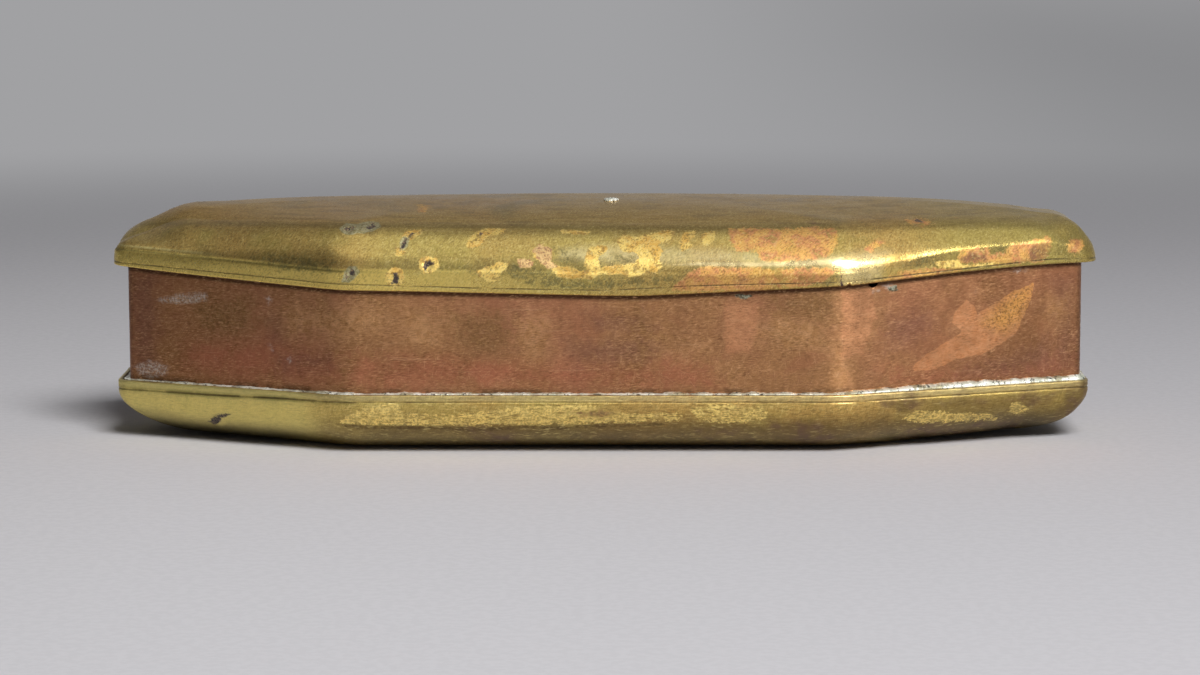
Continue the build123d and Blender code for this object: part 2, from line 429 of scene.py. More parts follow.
def lid_rows():
    """Rows over the lid, from the middle of its inside round its edge to the middle of its outside."""
    x, y = outline(0.0)
    at_front = y < 0
    at_back = y > half_width - 2 * mm
    off_back = y < half_width - 3 * mm
    edge = along(edge_curve, x)
    in_notch = at_back * (1 - smooth(notch_half - notch_fade, notch_half, np.abs(x)))
    edge = edge + (notch_height - edge) * in_notch
    line = np.maximum(along(line_curve, x), edge + least_strip)
    crease = np.maximum(along(crease_curve, x), line + least_strip)
    softer = 0.5 * smooth(-46 * mm, -38 * mm, x) + 0.2 * smooth(4 * mm, 22 * mm, x)
    softer += 0.25 * smooth(34 * mm, 44 * mm, x)
    step_here = crease_step * (1 - softer * off_back)
    edge = edge + crack_nick * np.exp(-((x - crack_place) / crack_width) ** 2) * at_front
    turn_here = lid_turn_height + along(turn_curve, x, 13) * at_front
    rise_here = lid_side_rise * (lid_shoulder_height - turn_here) / (lid_shoulder_height - lid_turn_height)
    line_here = line_depth * np.where(at_back, 0.0, 1 - 0.85 * smooth(10 * mm, 38 * mm, x))

    def skin(height, inset):
        """One row of the outer skin at a height for each station, inset behind the rim's outline."""
        pull = side_pull(np.maximum(height - turn_here, 0), lid_side_reach, rise_here)
        return outline_row(height, inset, pull, lid_draws)

    # Inside, from the middle out to the side and down to the edge
    inner_inset = crease_step + lid_sheet
    inner_foot = edge + inner_edge_step
    rows = [crown_row(share, inner_inset, -lid_sheet) for share in np.linspace(0.98, 0.0, lid_floor_rows)]
    for pull in lid_shoulder_inset * np.linspace(1.0, 0.0, inner_side_rows + 1)[1:] ** 1.5:
        z = lid_turn_height - lid_sheet + side_height(pull, lid_side_reach, lid_side_rise)
        rows.append(outline_row(np.maximum(z, inner_foot), inner_inset, pull, lid_draws))
    inner_z = rows[-1][:, 2]
    for share in np.linspace(0, 1, lid_skirt_rows + 1)[1:]:
        rows.append(outline_row(inner_z + (inner_foot - inner_z) * share, inner_inset))

    # Round the cut edge, up to the incised line and over it
    for inset, lift in lid_edge_section:
        rows.append(outline_row(edge + lift * mm, inset * mm))
    above_edge = lid_edge_section[-1][1] * mm
    for share in (0.35, 0.7):
        rows.append(skin(edge + above_edge + (line - line_width - edge - above_edge) * share, 0.0))
    for offset, depth in line_section:
        rows.append(skin(line + offset * line_width, line_here * depth))

    # Up to the crease, over its lip and into its corner
    start = line + line_section[-1][0] * line_width
    stop = crease - 0.3 * mm
    for share in np.linspace(0, 1, lid_strip_rows + 1)[1:]:
        rows.append(skin(start + (stop - start) * share, 0.0))
    for offset, depth in crease_section:
        rows.append(skin(crease + offset * mm, step_here * depth))

    # Up the rounded side, along its length, and over the crown
    side_foot = crease + crease_section[-1][0] * mm
    pull_here = side_pull(np.maximum(side_foot - turn_here, 0), lid_side_reach, rise_here)
    low_share = np.sqrt(np.maximum(pull_here, 1e-9) / lid_shoulder_inset)
    for share in np.linspace(0, 1, lid_side_rows + 1)[1:]:
        pull = lid_shoulder_inset * (low_share + (1 - low_share) * share) ** 2
        z = turn_here + side_height(pull, lid_side_reach, rise_here)
        inset = np.maximum(step_here, crease_step * smooth(0, 0.4, share))
        rows.append(outline_row(z, inset, pull, lid_draws))
    rows += [crown_row(share, crease_step, 0.0) for share in np.linspace(0.0, 0.98, crown_rows + 1)[1:]]
    return rows


def crown_row(share, inset, lift):
    """One row of the crown: share 0 at the shoulder, 1 in the middle."""
    scale = 1 - share
    middle_share = min(share / (1 - crown_flat_share), 1.0)
    level = crown_height - (crown_height - lid_shoulder_height) * (1 - middle_share) ** crown_power
    x, y = outline(inset, lid_shoulder_inset, lid_draws, scale)
    heading = np.arctan2(y / half_width, x / half_length)
    round_x = np.cos(heading) * (half_length - lid_shoulder_inset) * scale * crown_oval_length
    round_y = np.sin(heading) * (half_width - lid_shoulder_inset) * scale
    rounded = smooth(0.0, 0.75, share)
    return row_points(x + (round_x - x) * rounded, y + (round_y - y) * rounded, level + lift)


def hammered(piece, outer, amounts, seed):
    """Pushes outer points in a little, unevenly, as a hand-beaten sheet is."""
    points, normals = coordinates(piece)
    put_points(piece, points - normals * (waves(points, amounts, seed) * outer)[:, None])


# Dents in the lid and base, as (photo x, photo y, radius in pixels, depth in millimetres)
lid_dents = {
    "left double pit": (349, 229, 6, 0.10),
    "right double pit": (370, 227, 8, 0.12),
    "long pit top": (410, 235, 5, 0.12),
    "long pit": (404, 244, 6, 0.14),
    "pit over the line": (349, 274, 7, 0.14),
    "ringed pit": (395, 278, 6, 0.06),
    "ring pit": (428, 265, 6, 0.12),
    "pit by the shoulder": (917, 221, 7, 0.12),
    "hollow by the crease": (568, 278, 26, 0.10),
    "hollow right of the fold": (915, 259, 24, 0.10),
    "left hollow": (195, 255, 18, 0.05),
}
base_dents = {
    "long pit": (219, 419, 8, 0.14),
    "right hollow": (905, 432, 34, 0.18),
    "right end hollow": (1015, 418, 26, 0.14),
    "left hollow": (300, 430, 40, 0.10),
}


# Where a point falls in the photograph

camera_back = np.array((0.0, -math.cos(camera_elevation), math.sin(camera_elevation)))
camera_place = camera_target + camera_back * camera_distance
camera_up = np.array((0.0, math.sin(camera_elevation), math.cos(camera_elevation)))


def photo_place(points):
    """Photo x and y of each point."""
    offset = points - camera_place
    depth = -(offset @ camera_back)
    x = photo_width / 2 + focal_px * offset[:, 0] / depth
    y = photo_height / 2 - object_lift_px - focal_px * (offset @ camera_up) / depth
    return np.stack((x, y), axis=-1)


def seen(points, normals):
    """1 for points whose side looks towards the camera."""
    towards = camera_place - points
    towards /= np.linalg.norm(towards, axis=1)[:, None]
    return smooth(0.0, 0.08, (normals * towards).sum(axis=1))


def press_dents(piece, outer, dents):
    """Presses round hollows into the side that the photograph shows."""
    points, normals = coordinates(piece)
    places = photo_place(points)
    depth = np.zeros(len(points))
    for x, y, radius, amount in dents.values():
        away = np.hypot(places[:, 0] - x, places[:, 1] - y) / radius
        depth = np.maximum(depth, amount * mm * (1 - smooth(0.3, 1.0, away)))
    depth *= seen(points, normals) * outer
    put_points(piece, points - normals * depth[:, None])


def row_mask(piece, first_row):
    """1 for points in rows from first_row on and for the end point of the last row."""
    mask = np.zeros(len(piece.data.vertices))
    mask[first_row * station_count:] = 1
    mask[-2] = 0
    return mask


lid = closed_grid("brass_lid", lid_rows())
lid_outer = row_mask(lid, lid_floor_rows + inner_side_rows + lid_skirt_rows + lid_edge_inner_rows)


def uneven_top(piece):
    """Raises and lowers the top as the photograph's outline shows, and fills out its left end."""
    points, _ = coordinates(piece)
    height = points[:, 2].copy()
    points[:, 2] += along(top_curve, points[:, 0], 9) * smooth(33 * mm, 36 * mm, height)
    shoulder_reach = half_width - lid_shoulder_inset
    slant = math.tan(turn_left) * np.maximum(-left_shoulder_start - points[:, 0], 0)
    across = np.clip(np.abs(points[:, 1]) / np.maximum(shoulder_reach - slant, least_reach), 0, 1)
    lower = left_shoulder_drop * smooth(-44 * mm, -72 * mm, points[:, 0]) * smooth(30 * mm, 36.5 * mm, height)
    points[:, 2] -= lower * across ** 2
    fuller = smooth(29.6 * mm, 33.0 * mm, height) * smooth(37.2 * mm, 33.2 * mm, height)
    points[:, 0] -= left_end_bulge * fuller * smooth(-70 * mm, -77 * mm, points[:, 0])
    put_points(piece, points)


uneven_top(lid)
hammered(lid, lid_outer, lid_waves, 11)
press_dents(lid, lid_outer, lid_dents)


# Base

def groove_level(x):
    """Height of the dish's groove, which dips at the left end."""
    return groove_height - groove_lower_left * smooth(-50 * mm, -66 * mm, x)


def base_rows():
    """Rows over the dish, from the middle of its inside round its rim to the middle of its underside."""
    inner_inset = rim_inset + base_sheet

    def floor_row(share, inset, lift):
        """One row of the shallow middle: share 0 at the shoulder, 1 in the middle."""
        flat_share = min(share / (1 - base_flat_share), 1.0)
        level = base_middle_drop * (1 - flat_share) + lift
        return outline_row(level, inset, base_shoulder_inset, base_draws, 1 - share)

    def side_row(pull, inset, lift):
        """One row of the rounded side."""
        z = base_turn_height - side_height(pull, base_side_reach, base_side_drop) + lift
        return outline_row(z, inset, pull, base_draws)

    # Inside, then over the rim's cut edge
    rows = [floor_row(share, inner_inset, base_sheet) for share in base_floor_shares]
    for pull in base_shoulder_inset * np.linspace(1, 0, inner_side_rows + 1)[1:] ** 1.5:
        rows.append(side_row(pull, inner_inset, base_sheet))
    rows.append(outline_row(base_rim_height - inner_edge_step, inner_inset))
    for inset, drop in base_edge_section:
        rows.append(outline_row(base_rim_height - drop * mm, inset * mm))

    # Down the rim strip to the groove and over it; it is worn away at one place on the front
    x, y = outline(rim_inset)
    groove_here = groove_level(x)
    low = groove_here + 0.9 * groove_width
    high = base_rim_height - base_edge_section[-1][1] * mm
    for share in (0.25, 0.5, 0.75, 1.0):
        rows.append(outline_row(high + (low - high) * share, rim_inset))
    places = row_points(x, y, groove_height)
    worn_away = np.exp(-((x - groove_worn_place) / groove_worn_width) ** 2) * (y < 0)
    depth_here = groove_depth * np.clip(0.75 + 0.5 * ripple(places, 17 * mm, 81), 0.2, 1.0) * (1 - worn_away)
    for offset, depth in groove_section:
        rows.append(outline_row(groove_here + offset * groove_width, rim_inset + depth * depth_here))

    # Down the rounded side and under the middle
    for pull in base_shoulder_inset * np.linspace(0.05, 1, base_side_rows) ** 2:
        row = side_row(pull, rim_inset, 0.0)
        row[:, 2] = np.minimum(row[:, 2], groove_here - groove_width)
        rows.append(row)
    return rows + [floor_row(share, rim_inset, 0.0) for share in base_underside_shares]


base = closed_grid("brass_base", base_rows())
base_outer = row_mask(base, len(base_floor_shares) + inner_side_rows + 1 + base_edge_inner_rows)


def raise_ends(piece):
    """Raises the dish's underside towards both ends, and makes it a little longer at the left."""
    points, _ = coordinates(piece)
    points[:, 2] += along(underside_curve, points[:, 0], 17) * smooth(8 * mm, 3 * mm, points[:, 2])
    points[:, 0] -= left_end_longer * smooth(-70 * mm, -78 * mm, points[:, 0])
    put_points(piece, points)


def keep_off_floor(piece):
    """Keeps a piece from sinking under the plane that it stands on."""
    points, _ = coordinates(piece)
    points[:, 2] = np.maximum(points[:, 2], 0.0)
    put_points(piece, points)


raise_ends(base)
hammered(base, base_outer, base_waves, 31)
press_dents(base, base_outer, base_dents)
keep_off_floor(base)


# Copper band

def wall_rows():
    """Rows round the band's section: up the outside, over the top, down the inside, under the foot."""
    foot = wall_foot + 0.1 * mm
    shoulder = wall_top - 0.1 * mm
    close = np.linspace(wall_close_low, wall_close_high, wall_close_rows)
    outside = [*np.linspace(foot, 9.6 * mm, 4), *close, 29 * mm, wall_top - 0.3 * mm, shoulder]
    section = [(0.0, z) for z in outside]
    section += [(0.12, wall_top - 0.02 * mm), (0.3, wall_top), (0.7, wall_top), (0.88, wall_top - 0.02 * mm)]
    section += [(1.0, z) for z in np.linspace(shoulder, foot, wall_inner_rows)]
    section += [(0.88, wall_foot), (0.12, wall_foot)]
    return [outline_row(z, wall_inset + share * wall_sheet) for share, z in section]


def open_at_seam(rows):
    """Starts each row at one side of the seam and ends it at the other."""
    x, y = rows[0][:, 0], rows[0][:, 1]
    at_back = y > half_width - 4 * mm
    first = int(np.argmin(np.where(at_back & (x < seam_place - seam_gap / 2), seam_place - x, 1.0)))
    opened = []
    for row in rows:
        turned = np.roll(row, -first, axis=0)
        in_gap = np.abs(turned[:, 0] - seam_place) < seam_gap / 2
        in_gap &= turned[:, 1] > half_width - 4 * mm
        kept = turned[~in_gap].copy()
        kept[0, 0] = seam_place - seam_gap / 2
        kept[-1, 0] = seam_place + seam_gap / 2
        opened.append(kept)
    return opened


wall = closed_grid("copper_band", open_at_seam(wall_rows()), wrap_rows=True, cap=False, wrap_columns=False)


def uneven_band(piece):
    """Slight waves in the band, none at its seam or where other pieces touch it."""
    points, normals = coordinates(piece)
    sideways = normals.copy()
    sideways[:, 2] = 0
    from_seam = np.hypot(points[:, 0] - seam_place, points[:, 1] - half_width + wall_inset)
    depth = waves(points, wall_waves, 50) * smooth(3 * mm, 10 * mm, from_seam)
    outer = (np.abs(normals[:, 2]) < 0.5) & (points[:, 1] < half_width - 5 * mm)
    facing = (points * sideways).sum(axis=1) > 0
    put_points(piece, points - sideways * (depth * outer * facing)[:, None])


uneven_band(wall)


def drill_hole(piece):
    """Drills the small hole near the right front corner."""
    corner_x = corner_right - wall_inset * math.tan(turn_right / 2)
    worked = bmesh.new()
    sizes = {"radius1": hole_radius, "radius2": hole_radius, "depth": 5 * mm}
    bmesh.ops.create_cone(worked, cap_ends=True, segments=hole_sides, **sizes)
    drill_mesh = bpy.data.meshes.new("drill")
    worked.to_mesh(drill_mesh)
    worked.free()
    drill = new_object("drill", drill_mesh)
    drill.location = (
        corner_x + hole_from_corner * math.cos(turn_right),
        -half_width + wall_inset + hole_from_corner * math.sin(turn_right),
        hole_height,
    )
    drill.rotation_euler = (quarter, 0, turn_right)
    cut = piece.modifiers.new("hole", "BOOLEAN")
    cut.operation = "DIFFERENCE"
    cut.solver = "EXACT"
    cut.object = drill
    bpy.context.view_layer.update()
    graph = bpy.context.evaluated_depsgraph_get()
    drilled = bpy.data.meshes.new_from_object(piece.evaluated_get(graph))
    piece.modifiers.clear()
    piece.data = drilled
    bpy.data.objects.remove(drill)
    bpy.data.meshes.remove(drill_mesh)


drill_hole(wall)


# Solder bead between band and dish, and solder plug in the crown

def bead_rows():
    """Rows round the bead's section, lumpy on its free side."""
    x, y = outline(wall_inset)
    corner = row_points(x, y, base_rim_height)
    swell = 0.75 + 0.3 * ripple(corner, 9 * mm, 71) + 0.3 * ripple(corner, 3.2 * mm, 72)
    swell += 0.22 * ripple(corner, 1.3 * mm, 73) + 0.15 * ripple(corner, 0.7 * mm, 74)
    swell = np.clip(swell, 0.25, 1.5)
    fuller = smooth(30 * mm, 58 * mm, x) * 0.85
    thinner = 1 - 0.45 * smooth(-30 * mm, -60 * mm, x)
    height = bead_height * (0.5 * swell * thinner + fuller)
    on_rim = wall_inset - rim_inset - bead_on_rim * (1.4 - 0.5 * swell)
    low = base_turn_height + base_sheet
    buried = wall_inset + 0.3 * mm
    rows = [outline_row(low, buried), outline_row(low, rim_inset + base_sheet + 0.05 * mm)]
    for share in np.linspace(0, 1, bead_round_rows):
        angle = share * quarter
        bulge = np.clip(0.72 + 0.25 * ripple(corner + share * 3 * mm, 1.1 * mm, 75), 0.4, 1.0)
        out = on_rim * (math.cos(angle) + (math.cos(angle) ** 0.5 - math.cos(angle)) * bulge * 0.3)
        up = height * (math.sin(angle) * (0.75 + 0.25 * bulge))
        rows.append(outline_row(base_rim_height - 0.02 * mm + up, wall_inset - out))
    return rows + [outline_row(base_rim_height + height * 0.8, buried)]


def plug_rows():
    """Rows up the plug: its stem through the sheet, then its low head, a little lumpy."""
    low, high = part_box("lid_solder_plug")
    seat = high[2] - plug_head_rise
    angles = np.linspace(0, 2 * math.pi, plug_sides, endpoint=False)
    lumps = 1 + 0.05 * np.sin(angles * 3 + 1) + 0.03 * np.sin(angles * 7)
    stem = ((0.7 * mm, low[2] - seat), (0.78 * mm, low[2] - seat + 0.1 * mm))
    rows = []
    for radius, z in stem + tuple((radius * mm, z * mm) for radius, z in plug_head_section):
        x = np.cos(angles) * radius * lumps + plug_place[0]
        y = np.sin(angles) * radius * lumps + plug_place[1]
        rows.append(row_points(x, y, z + seat))
    return rows


bead = closed_grid("solder_bead", bead_rows(), wrap_rows=True, cap=False)
plug = closed_grid("solder_plug", plug_rows())


# Marks, as corners of patches in photo pixels. Each kind is kept on the mesh as how near a point is.

gold_patches = {
    "blotch left of the middle": (
        (464, 247), (467, 240), (476, 232), (483, 229), (492, 228), (506, 229), (503, 233), (492, 236),
        (485, 238), (481, 246), (474, 248),
    ),
    "patch on the crease": (
        (477, 271), (485, 268), (492, 265), (498, 262), (508, 263), (507, 269), (501, 273), (498, 280),
        (492, 284), (485, 281), (479, 275),
    ),
    "pale patch": ((516, 259), (524, 258), (533, 262), (531, 269), (522, 268)),
    "crooked band, left arm": (
        (532, 250), (540, 244), (549, 247), (553, 254), (551, 261), (557, 267), (549, 270), (539, 262),
        (533, 256),
    ),
    "crooked band, foot": (
        (549, 266), (571, 267), (580, 270), (592, 272), (605, 272), (592, 279), (566, 279), (556, 276),
    ),
    "crooked band, right arm": (
        (584, 266), (585, 255), (590, 247), (607, 245), (608, 251), (599, 256), (600, 265), (608, 273),
        (592, 275),
    ),
    "large patch": (
        (618, 240), (623, 235), (636, 237), (652, 233), (668, 230), (673, 231), (671, 240), (659, 244),
        (663, 251), (659, 260), (662, 267), (657, 274), (648, 271), (641, 275), (629, 277), (621, 273),
        (609, 275), (600, 273), (600, 267), (620, 265), (635, 263), (638, 257), (634, 252), (623, 252),
        (618, 247),
    ),
    "small patch right of it": (
        (679, 242), (684, 232), (696, 230), (695, 237), (689, 240), (693, 246), (682, 251),
    ),
    "last small patch": ((702, 233), (716, 231), (714, 240), (705, 247), (702, 242)),
    "rim of the long pit, top": ((422, 229), (408, 230), (402, 236), (403, 241), (412, 240), (421, 234)),
    "rim of the long pit, foot": ((396, 249), (404, 247), (405, 252), (400, 257), (396, 255)),
    "ring of the pit on the line": (
        (385, 276), (389, 269), (396, 267), (402, 269), (405, 276), (402, 284), (395, 288), (387, 284),
    ),
    "ring of the oval pit": (
        (417, 266), (420, 259), (428, 256), (437, 258), (440, 265), (435, 272), (424, 274),
    ),
    "specks under the shoulder": ((560, 230), (590, 231), (590, 234), (562, 234)),
    "strip on the right cant": (
        (935, 262), (958, 259), (962, 265), (1000, 262), (1000, 265), (960, 268), (940, 268),
    ),
}
crack_patches = {
    "crack by the fold": (
        (839.6, 266), (840.4, 266), (841.8, 276), (841.4, 281), (844.5, 287), (840.5, 287), (840.4, 281),
        (840.8, 276),
    ),
}
copper_patches = {
    "orange corner of the large patch": ((650, 236), (668, 230), (673, 231), (671, 238), (652, 241)),
    "orange corner of the small patch": ((680, 243), (690, 241), (688, 248), (681, 249)),
    "big patch": (
        (729, 229), (755, 228), (768, 229), (796, 229), (814, 226), (837, 230), (838, 244), (832, 254),
        (814, 260), (796, 261), (778, 263), (761, 261), (757, 251), (736, 251), (730, 242),
    ),
    "patch along the strip": (
        (677, 283), (695, 269), (707, 266), (732, 268), (761, 267), (771, 269), (796, 268), (823, 267),
        (836, 270), (828, 279), (811, 285), (779, 289), (746, 292), (725, 290), (700, 292), (673, 290),
    ),
    "spot near the shoulder": ((417, 208), (421, 204), (429, 206), (428, 212), (419, 213)),
    "pink oval": ((866, 250), (869, 245), (876, 240), (884, 239), (885, 242), (879, 247), (870, 252)),
    "rim of the shoulder pit": ((905, 219), (922, 219), (935, 223), (922, 226), (910, 224)),
    "strip along the right edge": (
        (876, 281), (905, 271), (940, 268), (963, 267), (962, 271), (930, 277), (900, 283), (877, 287),
    ),
    "patch on the right cant": (
        (952, 254), (960, 251), (975, 247), (988, 248), (992, 255), (1006, 253), (1010, 245), (1030, 241),
        (1048, 236), (1053, 240), (1048, 255), (1043, 262), (1000, 264), (960, 263),
    ),
    "spot at the right end": ((1067, 244), (1073, 239), (1083, 241), (1084, 248), (1075, 254), (1068, 251)),
}
pit_patches = {
    "left double pit": ((344, 228), (354, 226), (357, 228), (349, 232), (345, 231)),
    "right double pit": ((363, 229), (372, 223), (378, 226), (370, 230)),
    "long pit, top": ((407, 236), (413, 231), (415, 234), (409, 239)),
    "long pit, foot": ((401, 248), (403, 241), (407, 238), (407, 242), (404, 249)),
    "pit over the line, top": ((350, 272), (352, 268), (356, 271), (353, 276), (350, 275)),
    "pit over the line, foot": ((343, 280), (346, 275), (349, 276), (347, 281)),
    "pit on the line": ((391, 284), (394, 273), (397, 273), (400, 281), (396, 285)),
    "oval pit": ((423, 268), (425, 263), (430, 261), (434, 264), (429, 267), (426, 270)),
    "shoulder pit": ((911, 221), (917, 219), (924, 222), (917, 223)),
    "dark speck in the blotch": ((479, 233), (483, 232), (483, 235), (480, 236)),
}
ring_patches = {
    "double pit": (
        (339, 228), (346, 223), (357, 224), (368, 221), (379, 222), (381, 227), (371, 232), (350, 235),
        (342, 233),
    ),
    "pit over the line": (
        (341, 282), (344, 273), (349, 266), (356, 266), (360, 272), (355, 278), (349, 283),
    ),
    "long pit": ((400, 247), (400, 240), (404, 236), (410, 238), (408, 247), (403, 251)),
}
# Painted highlight: a thin bright line along the top of the strip
glint_patches = {
    "line over the strip": (
        (672, 265), (700, 262), (760, 262.5), (800, 262), (842, 257), (842, 264), (800, 266), (760, 266.5),
        (700, 266),
    ),
}
# Painted shade: a darker line along the edge of the crown, where the side turns into the top
shoulder_shade_patches = {
    "edge of the crown": (
        (140, 222), (200, 221), (330, 223), (480, 224.5), (700, 226), (840, 223), (840, 228), (700, 231),
        (480, 228.5), (330, 227.5), (200, 225.5), (142, 226),
    ),
}
# Painted sheen: a pale band along the ridge over the strip and on the strip beside the fold
sheen_patches = {
    "strip beside the fold": ((840, 268), (882, 264), (880, 279), (842, 285)),
    "sheen along the ridge": (
        (560, 250), (600, 246), (650, 248), (720, 250), (790, 253), (836, 256), (870, 250), (890, 252),
        (862, 272), (836, 270), (790, 267), (720, 264), (650, 264), (590, 262), (560, 258),
    ),
}
rose_patches = {
    "crooked band, left arm": gold_patches["crooked band, left arm"][:-1],
    "pale patch": gold_patches["pale patch"],
}
brown_patches = {
    "spot in the strip": ((732, 280), (739, 277), (747, 280), (740, 284)),
    "streak over the orange": ((806, 223), (813, 221), (819, 223), (812, 225)),
    "end of the cant patch": ((1028, 252), (1036, 243), (1050, 240), (1049, 255), (1042, 262), (1030, 262)),
    "foot of the cant patch": ((958, 258), (970, 252), (985, 254), (990, 262), (962, 263)),
    "dark end of the cant patch": ((1038, 258), (1044, 245), (1052, 242), (1049, 256), (1043, 262)),
}
tarnish_patches = {
    "mottling by the left crease": ((250, 257), (300, 256), (335, 262), (330, 271), (280, 269)),
    "crease, middle": (
        (440, 268), (520, 266), (548, 270), (590, 279), (660, 278), (690, 272), (690, 282), (600, 289),
        (540, 287), (500, 274),
    ),
    "green spot in the orange": ((700, 273), (709, 270), (714, 275), (706, 280)),
    "green spot over the line": ((752, 270), (766, 268), (770, 274), (758, 276)),
    "green spot by the fold": ((824, 279), (836, 272), (838, 278), (826, 287)),
    "hollow right of the fold": ((905, 266), (915, 253), (930, 250), (938, 258), (932, 266), (910, 270)),
    "teal bit": ((992, 246), (1004, 244), (1006, 252), (994, 254)),
    "grey patch in the large one": ((622, 254), (636, 254), (637, 260), (620, 263), (610, 258)),
    "between the arms": ((556, 250), (580, 248), (582, 262), (562, 262)),
}
wall_light_patches = {
    "wing-shaped patch": (
        (914, 371), (913, 366), (930, 352), (948, 341), (962, 332), (952, 323), (955, 312), (967, 299),
        (975, 307), (977, 315), (993, 304), (1014, 291), (1034, 283), (1031, 299), (1022, 320), (1016, 333),
        (1001, 344), (982, 354), (956, 359), (935, 369),
    ),
}
wall_gold_patches = {
    "tip of the wing": (
        (985, 322), (1000, 305), (1014, 291), (1034, 283), (1031, 299), (1020, 320), (1004, 330),
    ),
}
wall_clean_patches = {
    "upright block": ((724, 303), (757, 303), (757, 331), (748, 352), (726, 352)),
    "light beside the fold": ((842, 292), (872, 290), (876, 318), (864, 352), (842, 362)),
}
wall_purple_patches = {
    "upright place on the left": ((266, 312), (284, 312), (288, 345), (268, 348)),
    "place above the foot": ((270, 352), (330, 350), (336, 368), (280, 374)),
    "far left": ((128, 272), (160, 270), (158, 372), (128, 378)),
    "far left edge": ((126, 272), (146, 270), (144, 374), (126, 378)),
    "middle": ((560, 338), (640, 336), (664, 350), (640, 366), (575, 366)),
    "middle, top": ((580, 312), (650, 312), (655, 332), (590, 334)),
    "right cant": ((884, 318), (925, 305), (940, 325), (915, 345), (885, 350)),
    "right end": ((1050, 278), (1078, 275), (1078, 372), (1050, 372), (1056, 330)),
    "below the wing": ((960, 366), (1010, 350), (1050, 330), (1060, 372), (1000, 380), (950, 382)),
}
wall_red_patches = {
    "foot, left": ((180, 345), (250, 335), (300, 345), (345, 352), (345, 384), (250, 380), (180, 372)),
    "foot, middle": ((345, 350), (440, 352), (560, 362), (700, 362), (720, 388), (345, 388)),
    "foot, right": ((880, 372), (1000, 368), (1076, 355), (1076, 376), (900, 388)),
}
wall_tan_patches = {
    "rubbed place left of the middle": (
        (398, 306), (430, 303), (452, 318), (446, 345), (420, 352), (400, 345),
    ),
    "cloud in the middle": ((515, 318), (545, 312), (556, 330), (550, 362), (528, 366), (518, 345)),
    "cloud left of the fold": ((745, 322), (775, 308), (820, 320), (825, 340), (790, 350), (752, 344)),
    "speckled place on the left": ((275, 306), (340, 300), (400, 305), (405, 330), (350, 342), (285, 336)),
    "right end": ((1040, 295), (1072, 292), (1072, 325), (1045, 328)),
    "foot of the fold": ((832, 352), (852, 350), (855, 388), (830, 388)),
    "tan place at the top left": ((160, 296), (185, 294), (190, 303), (168, 307)),
}
wall_dark_patches = {
    "olive place by the left fold": ((188, 300), (250, 296), (262, 318), (250, 338), (205, 334)),
    "dark cloud": ((452, 316), (500, 308), (516, 330), (505, 358), (468, 360), (455, 340)),
    "dark place left of the fold": ((760, 292), (838, 290), (836, 320), (800, 318), (765, 310)),
}
wall_pale_patches = {
    "white scratches": ((154, 298), (176, 295), (192, 293), (206, 293), (208, 300), (188, 304), (160, 303)),
    "pale mark": ((264, 297), (270, 295), (274, 300), (268, 306)),
    "pale nick": ((268, 344), (270, 344), (275, 352), (271, 351)),
    "pale star": ((287, 359), (290, 357), (292, 361), (289, 363)),
    "whitish bloom": ((133, 366), (150, 361), (170, 366), (166, 375), (150, 378), (140, 374)),
    "lip of the small hole": ((872, 291), (880, 289), (880, 291), (873, 293)),
    "solder left under the lid": ((882, 285), (890, 283), (895, 287), (888, 290)),
    "solder left at the right": ((1010, 271), (1020, 267), (1026, 270), (1016, 273)),
}
wall_teal_patches = {
    "solder left in the middle": ((733, 296), (742, 293), (753, 296), (744, 300)),
    "solder left beside the hole": ((888, 287), (896, 285), (899, 291), (891, 292)),
}
base_gold_patches = {
    "band, left part": (
        (340, 423), (352, 412), (378, 404), (398, 404), (405, 414), (460, 416), (462, 425), (420, 425),
        (370, 425),
    ),
    "band, middle": (
        (432, 416), (460, 414), (520, 408), (540, 405), (590, 405), (600, 412), (680, 414), (682, 420),
        (580, 424), (520, 425), (440, 425),
    ),
    "band, right part": ((690, 408), (720, 405), (765, 408), (768, 417), (740, 423), (700, 421)),
    "patch on the cant": (
        (903, 418), (915, 411), (935, 412), (960, 414), (990, 414), (996, 419), (960, 421), (920, 423),
    ),
    "star": ((1009, 411), (1012, 404), (1019, 400), (1024, 406), (1029, 410), (1018, 414)),
}
base_brown_patches = {
    "spots on the band": ((560, 412), (600, 410), (620, 414), (600, 418)),
}
base_border_patches = {
    "line under the left part": (
        (338, 424), (352, 425), (372, 426), (398, 426), (420, 427), (444, 426), (462, 427), (484, 429),
        (498, 427), (498, 430), (484, 432), (460, 430), (440, 429), (398, 429), (372, 429), (350, 428),
    ),
    "line under the middle": (
        (496, 427), (520, 425.5), (560, 426.5), (600, 424), (640, 424), (662, 422.5), (664, 424.5),
        (640, 426.5), (600, 427), (560, 429), (520, 428.5), (498, 430),
    ),
}
base_shade_patches = {
    "under the left part of the band": ((470, 428), (510, 428), (514, 442), (474, 442)),
    "right of the middle": ((772, 426), (800, 422), (836, 426), (832, 440), (788, 440)),
    "foot of the fold": ((694, 428), (738, 426), (752, 438), (708, 442)),
    "right rim": ((872, 398), (930, 396), (1010, 394), (1064, 390), (1044, 404), (960, 410), (884, 410)),
    "right end": ((1062, 388), (1092, 382), (1090, 400), (1072, 416), (1056, 420), (1066, 402)),
    "right cant, foot": ((900, 424), (960, 424), (1020, 420), (1030, 430), (960, 438), (900, 440)),
}
base_pit_patches = {
    "long pit, foot": ((208, 421), (213, 417), (220, 416), (222, 419), (219, 423), (214, 425)),
    "long pit, top": ((216, 415), (222, 413), (231, 414), (226, 417), (219, 418)),
    "speck": ((682, 434), (684, 434), (684, 436), (682, 436)),
}

